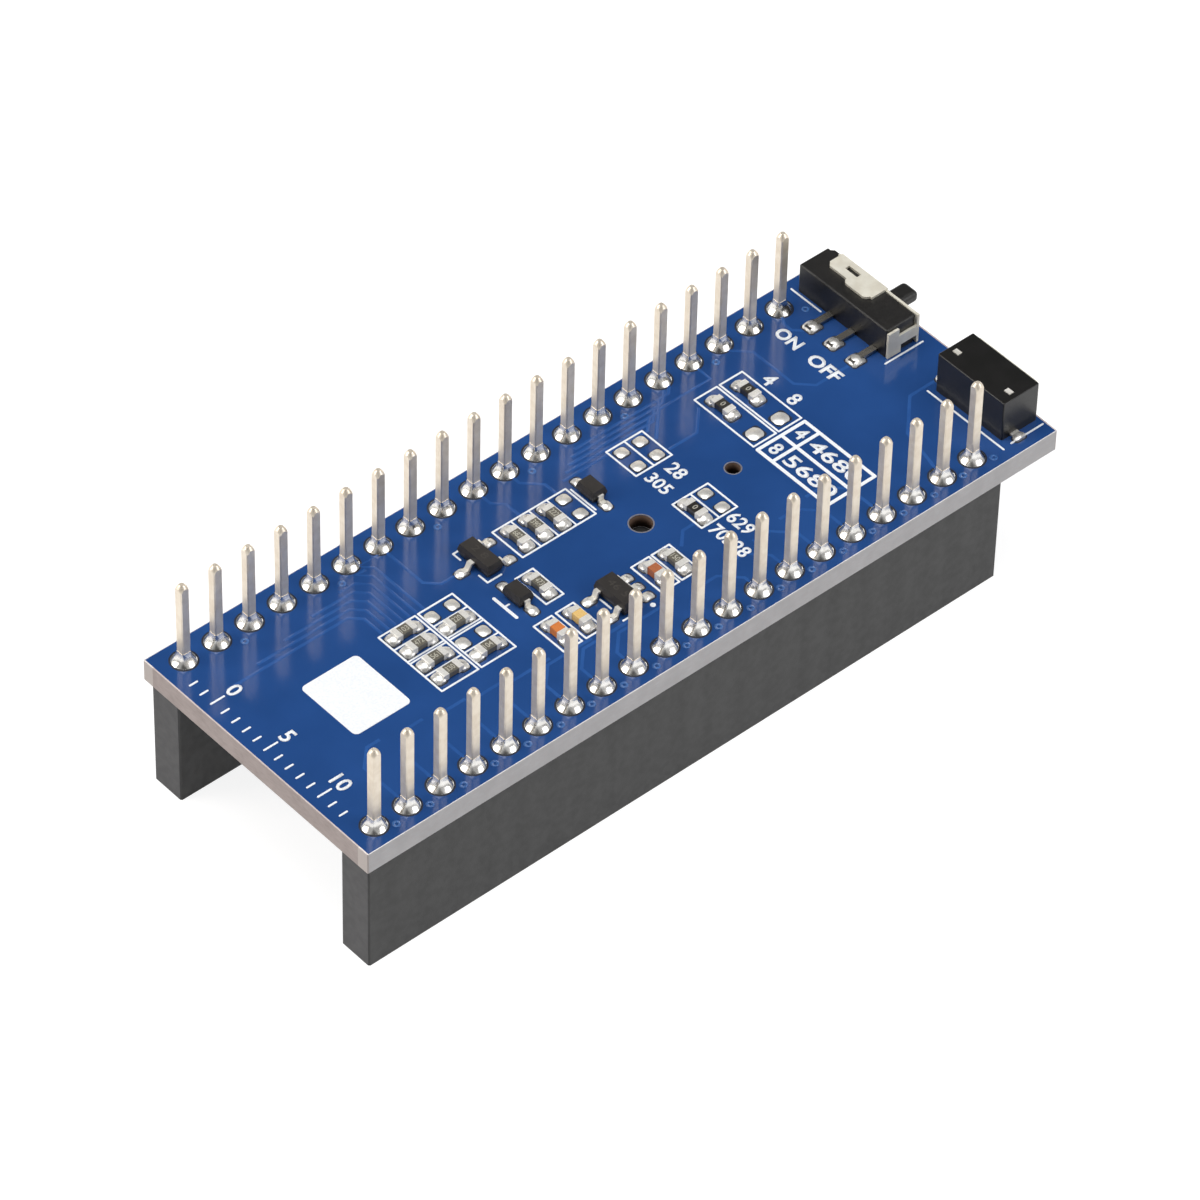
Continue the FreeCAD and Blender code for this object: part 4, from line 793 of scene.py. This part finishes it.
def node_group(name, sizes):
    """A geometry tree with named size inputs, the sockets that bring them in, and the one that ends it."""
    tree = bpy.data.node_groups.new(name, "GeometryNodeTree")
    tree.interface.new_socket("Geometry", in_out="INPUT", socket_type="NodeSocketGeometry")
    for label in sizes:
        tree.interface.new_socket(label, in_out="INPUT", socket_type="NodeSocketFloat")
    tree.interface.new_socket("Geometry", in_out="OUTPUT", socket_type="NodeSocketGeometry")
    start = add(tree, "NodeGroupInput")
    end = add(tree, "NodeGroupOutput")
    return tree, start.outputs, end.inputs["Geometry"]


def realized(tree, geometry, material, end):
    """Ends a tree: instances become mesh, and the material is set."""
    solid = add(tree, "GeometryNodeRealizeInstances", {"Geometry": geometry}).outputs["Geometry"]
    painted = add(tree, "GeometryNodeSetMaterial", {"Geometry": solid, "Material": material})
    tree.links.new(painted.outputs["Geometry"], end)


def grown_mesh(name, tree, sizes, source):
    """Runs a tree on a source mesh or curve and returns the plain mesh that it makes."""
    carrier = bpy.data.objects.new(name + "_carrier", source)
    bpy.context.scene.collection.objects.link(carrier)
    modifier = carrier.modifiers.new("grow", "NODES")
    modifier.node_group = tree
    for item in tree.interface.items_tree:
        if item.item_type == "SOCKET" and item.in_out == "INPUT" and item.name in sizes:
            modifier[item.identifier] = sizes[item.name]
    bpy.context.view_layer.update()
    mesh = bpy.data.meshes.new_from_object(carrier.evaluated_get(bpy.context.evaluated_depsgraph_get()))
    mesh.name = name
    bpy.data.objects.remove(carrier)
    return mesh


def point_cloud(places_mm):
    mesh = bpy.data.meshes.new("places")
    mesh.from_pydata([Vector(p) * MM for p in places_mm], [], [])
    return mesh


# Rings on the board: their number of sides, the height of a flush one and of a tinned one, the width of the
# mask's gap round a joint, and how much of a tinned ring the joint covers and leaves to be seen
RING_SIDES = 40
FLUSH_MM = 0.006
RING_MM = 0.04
PIN_GAP_MM = 0.15
RING_COVERED_MM = 0.12
RING_SHOWN_MM = 0.02

# The two locating holes: place along the middle of the board, and radius
HOLES_MM = (("large_hole", 4.645, 0.75), ("small_hole", 12.215, 0.5))
# Their linings: thickness, height, and how deep the lining's middle lies
LINING_MM = 0.02
LINING_HEIGHT_MM = 0.9
LINING_DEPTH_MM = 0.48
HOLE_RIM_MM = 0.09

# Vias: their inner and outer radius and their height
VIA_MM = (0.1, 0.27, 0.025)

# Tracks: sides of their section, widths, height, and how deep its middle lies, so that only its flat crown
# stands out of the board. The last value is how far a track runs askew when it bends.
RIBBON_SIDES = 24
TRACK_WIDTH = 0.32 * MM
AERIAL_TRACK_WIDTH = 0.9 * MM
TRACK_HEIGHT = 0.05 * MM
TRACK_DEPTH = 0.017 * MM
BEND_MM = 1.2


def ring_tree(name, material):
    """A ring with square edges at every point: inner radius, outer radius and height are its sizes."""
    tree, start, end = node_group(name, ("Inner radius", "Outer radius", "Height"))
    inner, outer = start["Inner radius"], start["Outer radius"]
    radius = reckon(tree, "MULTIPLY", reckon(tree, "ADD", inner, outer), 0.5)
    circle = add(tree, "GeometryNodeCurvePrimitiveCircle", {"Resolution": RING_SIDES, "Radius": radius})
    width = reckon(tree, "SUBTRACT", outer, inner)
    profile = add(tree, "GeometryNodeCurvePrimitiveQuadrilateral",
                  {"Width": width, "Height": start["Height"]})
    ring = add(tree, "GeometryNodeCurveToMesh",
               {"Curve": circle.outputs["Curve"], "Profile Curve": profile.outputs["Curve"]})
    spots = add(tree, "GeometryNodeInstanceOnPoints",
                {"Points": start["Geometry"], "Instance": ring.outputs["Mesh"]})
    realized(tree, spots.outputs["Instances"], material, end)
    return tree


def rings(name, material, inner_mm, outer_mm, height_mm, places_mm, slot="solder_masked_laminate"):
    """A piece made of equal rings, each centred on its place."""
    sizes = {"Inner radius": inner_mm * MM, "Outer radius": outer_mm * MM, "Height": height_mm * MM}
    mesh = grown_mesh(name, ring_tree(name, material), sizes, point_cloud(places_mm))
    piece_from(mesh, name)


def pad_rings():
    """Tinned rings of copper round the pin holes, each in its gap of the mask, on the top face."""
    joint = JOINT_RADIUS / MM
    spots = [(x, y, BOARD_TOP / MM) for x in COLUMNS_MM for y in (-ROW_MM, ROW_MM)]
    # The gaps round the joints are painted near black as shade.
    rings("mask_gaps_round_pins", PAINTED_SHADE_GAP, joint, joint + PIN_GAP_MM, FLUSH_MM, spots)
    rings("tinned_pad_rings", SOLDER, joint - RING_COVERED_MM, joint + RING_SHOWN_MM, RING_MM, spots,
          slot="solder")


def hole_walls():
    """Linings of the two locating holes, painted dark brown as the shade deep inside them, and the bare rims
    round them.
    """
    top = BOARD_TOP / MM
    for name, x, radius in HOLES_MM:
        middle = [(x, 0, top - LINING_DEPTH_MM)]
        rings(name + "_wall", HOLE_WALL, radius - LINING_MM, radius, LINING_HEIGHT_MM, middle)
        rings(name + "_rim", BARE_RIM, radius, radius + HOLE_RIM_MM, FLUSH_MM, [(x, 0, top)])


def ribbon_tree(name, material):
    """A low rounded ribbon along every curve: width and height are its sizes."""
    tree, start, end = node_group(name, ("Width", "Height"))
    profile = add(tree, "GeometryNodeCurvePrimitiveCircle", {"Resolution": RIBBON_SIDES, "Radius": 0.5})
    flat = add(tree, "ShaderNodeCombineXYZ", {"X": start["Width"], "Y": start["Height"], "Z": 1.0})
    squeezed = add(tree, "GeometryNodeTransform",
                   {"Geometry": profile.outputs["Curve"], "Scale": flat.outputs["Vector"]})
    ribbon = add(tree, "GeometryNodeCurveToMesh", {
        "Curve": start["Geometry"], "Profile Curve": squeezed.outputs["Geometry"], "Fill Caps": True,
    })
    realized(tree, ribbon.outputs["Mesh"], material, end)
    return tree


def poly_curves(paths, z):
    """Straight-lined curves through points given in mm, at a height in metres."""
    curve = bpy.data.curves.new("paths", "CURVE")
    curve.dimensions = "3D"
    for path in paths:
        spline = curve.splines.new("POLY")
        spline.points.add(len(path) - 1)
        for point, (x, y) in zip(spline.points, path):
            point.co = (x * MM, y * MM, z, 1)
    return curve


def ribbons(name, paths, z, width=TRACK_WIDTH):
    """Tracks under the mask, as one piece, along paths given in mm."""
    sizes = {"Width": width, "Height": TRACK_HEIGHT}
    mesh = grown_mesh(name, ribbon_tree(name, TRACK), sizes, poly_curves(paths, z))
    piece_from(mesh, name)


def escape(x, y, across, along):
    """A track from a near pin: across the board, then a 45 degree bend, then along the board."""
    lean = math.copysign(BEND_MM, along)
    return [(x, y), (x, y + across), (x + lean, y + across + BEND_MM), (x + along, y + across + BEND_MM)]


def top_tracks():
    """Copper tracks that show through the mask as low ridges, in mm."""
    row = ROW_MM
    column = COLUMNS_MM
    paths = []

    # Bundle from the resistor bank to the left-hand pins of the far row
    for i in range(7):
        x = -13.6 + i * 0.55
        top = 4.6 + 0.5 * i
        paths.append([(x, 2.95), (x, top), (x - 0.7, top + 0.7), (column[i] + 0.6, top + 0.7)])
    # Bundle along the far row, from the middle to the switch
    for i in range(5):
        y = 5.9 + 0.42 * i
        paths.append([(3.4 + 0.6 * i, y), (10.4 + 0.8 * i, y), (11.2 + 0.8 * i, y + 0.8)])
    # Pins of the near row, bending inwards under the parts
    for i in range(8):
        paths.append(escape(column[i + 1], -row, 1.5 + 0.35 * (7 - i), 2.2 + 0.5 * i))
    for i in range(5):
        paths.append(escape(column[i + 12], -row, 1.3 + 0.4 * i, -2.6))
    # Single tracks
    paths += [
        [(23.9, 2.2), (21.2, 2.2), (20.2, 3.2), (20.2, 7.0), (column[17], 8.15), (column[17], row)],
        [(24.1, 6.24), (23.4, 6.94), (23.4, 7.6), (column[19], row)],
        [(27.5, -2.3), (25.0, -2.3), (22.6, -4.7), (column[18], -row)],
        [(10.3, 3.8), (12.6, 3.8), (14.2, 5.4)],
        [(10.3, 5.0), (12.2, 6.9), (column[16], 6.9), (column[16], row)],
        [(5.2, -3.1), (6.2, -2.1), (7.3, -2.1)],
        [(2.4, 5.3), (2.4, 6.4), (column[10], 7.5), (column[10], row)],
        [(-0.58, 5.3), (-0.58, 6.6), (column[9], 7.3), (column[9], row)],
        [(-6.9, 3.9), (-8.1, 3.9), (-8.9, 4.7), (column[6], row)],
    ]
    ribbons("masked_tracks_top", paths, BOARD_TOP - TRACK_DEPTH)


def underside_tracks():
    """The tracks of the underside, and the wide one from the aerial's socket to the receiver, in mm."""
    row = ROW_MM
    paths = []
    for x0, x1, y0, y1 in lumps("receiver_module_edge_contacts"):
        x = (x0 + x1) / 2
        side = 1 if y0 > 0 else -1
        column = (round(x / PITCH_MM - 0.5) + 0.5) * PITCH_MM
        paths.append([(x, side * 5.2), (x, side * 6.1), (column, side * 7.0), (column, side * row)])
    for x0, x1, y0, y1 in lumps("status_lamp_bases"):
        y = (y0 + y1) / 2
        paths.append([(20.6, y), (21.9, y)])
        paths.append([(16.8, y), (17.6, y)])
    ribbons("masked_tracks_underside", paths, BOARD_UNDER + TRACK_DEPTH)
    wide = [[(-22.6, 0), (-19.9, 0)], [(-17.9, 0), (-14.2, 0)]]
    ribbons("aerial_track", wide, BOARD_UNDER + TRACK_DEPTH, AERIAL_TRACK_WIDTH)


def tented_vias():
    """Vias closed by the mask: small raised rings beside the pins and along the tracks."""
    spots = []
    # Outside the near row beside every pin, a little unevenly, and inside the far row beside every third pin
    for i, x in enumerate(COLUMNS_MM):
        spots.append((x + 0.42 * PITCH_MM, -ROW_MM - 0.75 - 0.06 * (i % 3)))
        if i % 3 == 1:
            spots.append((x + 0.5 * PITCH_MM, ROW_MM - 1.1))
    under = [(-16.0, 2.4), (-16.0, -2.4), (-3.2, 3.0), (-3.2, -3.0), (-2.4, 0.6),
             (18.2, 5.0), (18.2, -5.0), (-18.8, 4.4), (-18.8, -4.4)]
    places = [(x, y, BOARD_TOP / MM) for x, y in spots] + [(x, y, BOARD_UNDER / MM) for x, y in under]
    rings("tented_vias", TENTED, *VIA_MM, places)


# Floor and light

WHITE = (1, 1, 1, 1)
FLOOR_HALF_WIDTH = 1.5
# What the floor glows by itself for the camera, so that it is white where no shadow lies
FLOOR_GLOW = 0.87

# The room's light, and what is left of it where a dark screen stands
ROOM_LEVEL = 0.42
SCREEN_LEVEL = 0.05
# Each screen: the direction in which it stands, and the degrees at which it starts to fade and has faded out
MIRRORED_SCREEN = ((0.476, 0.527, 0.704), 16, 34)
BEHIND_SCREEN = ((-0.476, -0.523, 0.707), 20, 40)

# Each softbox: its name, its place, the point that it faces, its width and height, its watts and its colour
SOFTBOXES = (
    ("overhead_softbox", (-0.05, 0.05, 0.7), (0, 0, 0), 0.6, 0.6, 3.6, (1, 1, 1)),
    ("left_softbox", (-0.55, 0.42, 0.37), (0, 0, 0.01), 0.4, 0.5, 2.85, (1, 0.94, 0.86)),
    ("right_softbox", (0.42, -0.62, 0.43), (0, 0, 0.01), 0.4, 0.5, 2.15, (1, 1, 1)),
)


def pale_floor():
    """A plain pale floor, which the camera, reflections and clear pieces see as white but for the shadow."""
    half = FLOOR_HALF_WIDTH
    mesh = bpy.data.meshes.new("floor")
    corners = [(-half, -half, 0), (half, -half, 0), (half, half, 0), (-half, half, 0)]
    mesh.from_pydata(corners, [], [(0, 1, 2, 3)])
    material, tree, output, _ = new_material("pale_studio_floor")
    rays = add(tree, "ShaderNodeLightPath").outputs
    seen = reckon(tree, "MAXIMUM", rays["Is Camera Ray"], rays["Is Glossy Ray"])
    seen = reckon(tree, "MAXIMUM", seen, rays["Is Transmission Ray"])
    plain = add(tree, "ShaderNodeBsdfDiffuse", {"Color": hue("#707070")})
    dim = add(tree, "ShaderNodeBsdfDiffuse", {"Color": hue("#8F8F8F")})
    glow = add(tree, "ShaderNodeEmission", {"Color": WHITE, "Strength": FLOOR_GLOW})
    lit = add(tree, "ShaderNodeAddShader", {0: dim.outputs[0], 1: glow.outputs[0]})
    both = add(tree, "ShaderNodeMixShader", {0: seen, 1: plain.outputs[0], 2: lit.outputs[0]})
    tree.links.new(both.outputs[0], output.inputs["Surface"])
    mesh.materials.append(material)
    floor = bpy.data.objects.new("studio_floor", mesh)
    bpy.context.scene.collection.objects.link(floor)


def softbox(name, place, aim, width, height, watts, colour):
    light = bpy.data.lights.new(name, "AREA")
    light.shape = "RECTANGLE"
    light.size = width
    light.size_y = height
    light.energy = watts
    light.color = colour
    lamp = bpy.data.objects.new(name, light)
    lamp.location = place
    lamp.rotation_euler = (Vector(aim) - Vector(place)).to_track_quat("-Z", "Y").to_euler()
    bpy.context.scene.collection.objects.link(lamp)


def away_from(tree, direction, toward, inner, outer):
    """0 within inner degrees of a direction and 1 beyond outer degrees, with a soft change between them."""
    cosine = add(tree, "ShaderNodeVectorMath", {0: direction, 1: toward}, operation="DOT_PRODUCT")
    return add(tree, "ShaderNodeMapRange", {
        "Value": cosine.outputs["Value"],
        "From Min": math.cos(math.radians(outer)), "From Max": math.cos(math.radians(inner)),
        "To Min": 1.0, "To Max": 0.0,
    }, interpolation_type="SMOOTHSTEP").outputs["Result"]


def studio_light():
    """A pale room with a dark screen where the board's top would mirror it, and one behind the camera."""
    world = bpy.data.worlds.new("studio")
    bpy.context.scene.world = world
    world.use_nodes = True
    tree = world.node_tree
    tree.nodes.clear()
    direction = add(tree, "ShaderNodeTexCoord").outputs["Object"]
    open_room = reckon(tree, "MULTIPLY", away_from(tree, direction, *MIRRORED_SCREEN),
                       away_from(tree, direction, *BEHIND_SCREEN))
    room = reckon(tree, "MULTIPLY_ADD", open_room, ROOM_LEVEL, SCREEN_LEVEL)
    seen = add(tree, "ShaderNodeLightPath").outputs["Is Camera Ray"]
    strength = reckon(tree, "MAXIMUM", room, seen)
    sky = add(tree, "ShaderNodeBackground", {"Color": WHITE, "Strength": strength})
    output = add(tree, "ShaderNodeOutputWorld")
    tree.links.new(sky.outputs[0], output.inputs["Surface"])
    for box in SOFTBOXES:
        softbox(*box)


def main():
    place_camera()
    dress_frame()
    mask_gaps_round_solder()
    print_top_legend()
    print_chip_marks()
    print_package_marks()
    print_under_legend()
    pad_rings()
    hole_walls()
    top_tracks()
    underside_tracks()
    tented_vias()
    pale_floor()
    studio_light()
    bpy.context.scene.view_settings.view_transform = "Standard"


main()
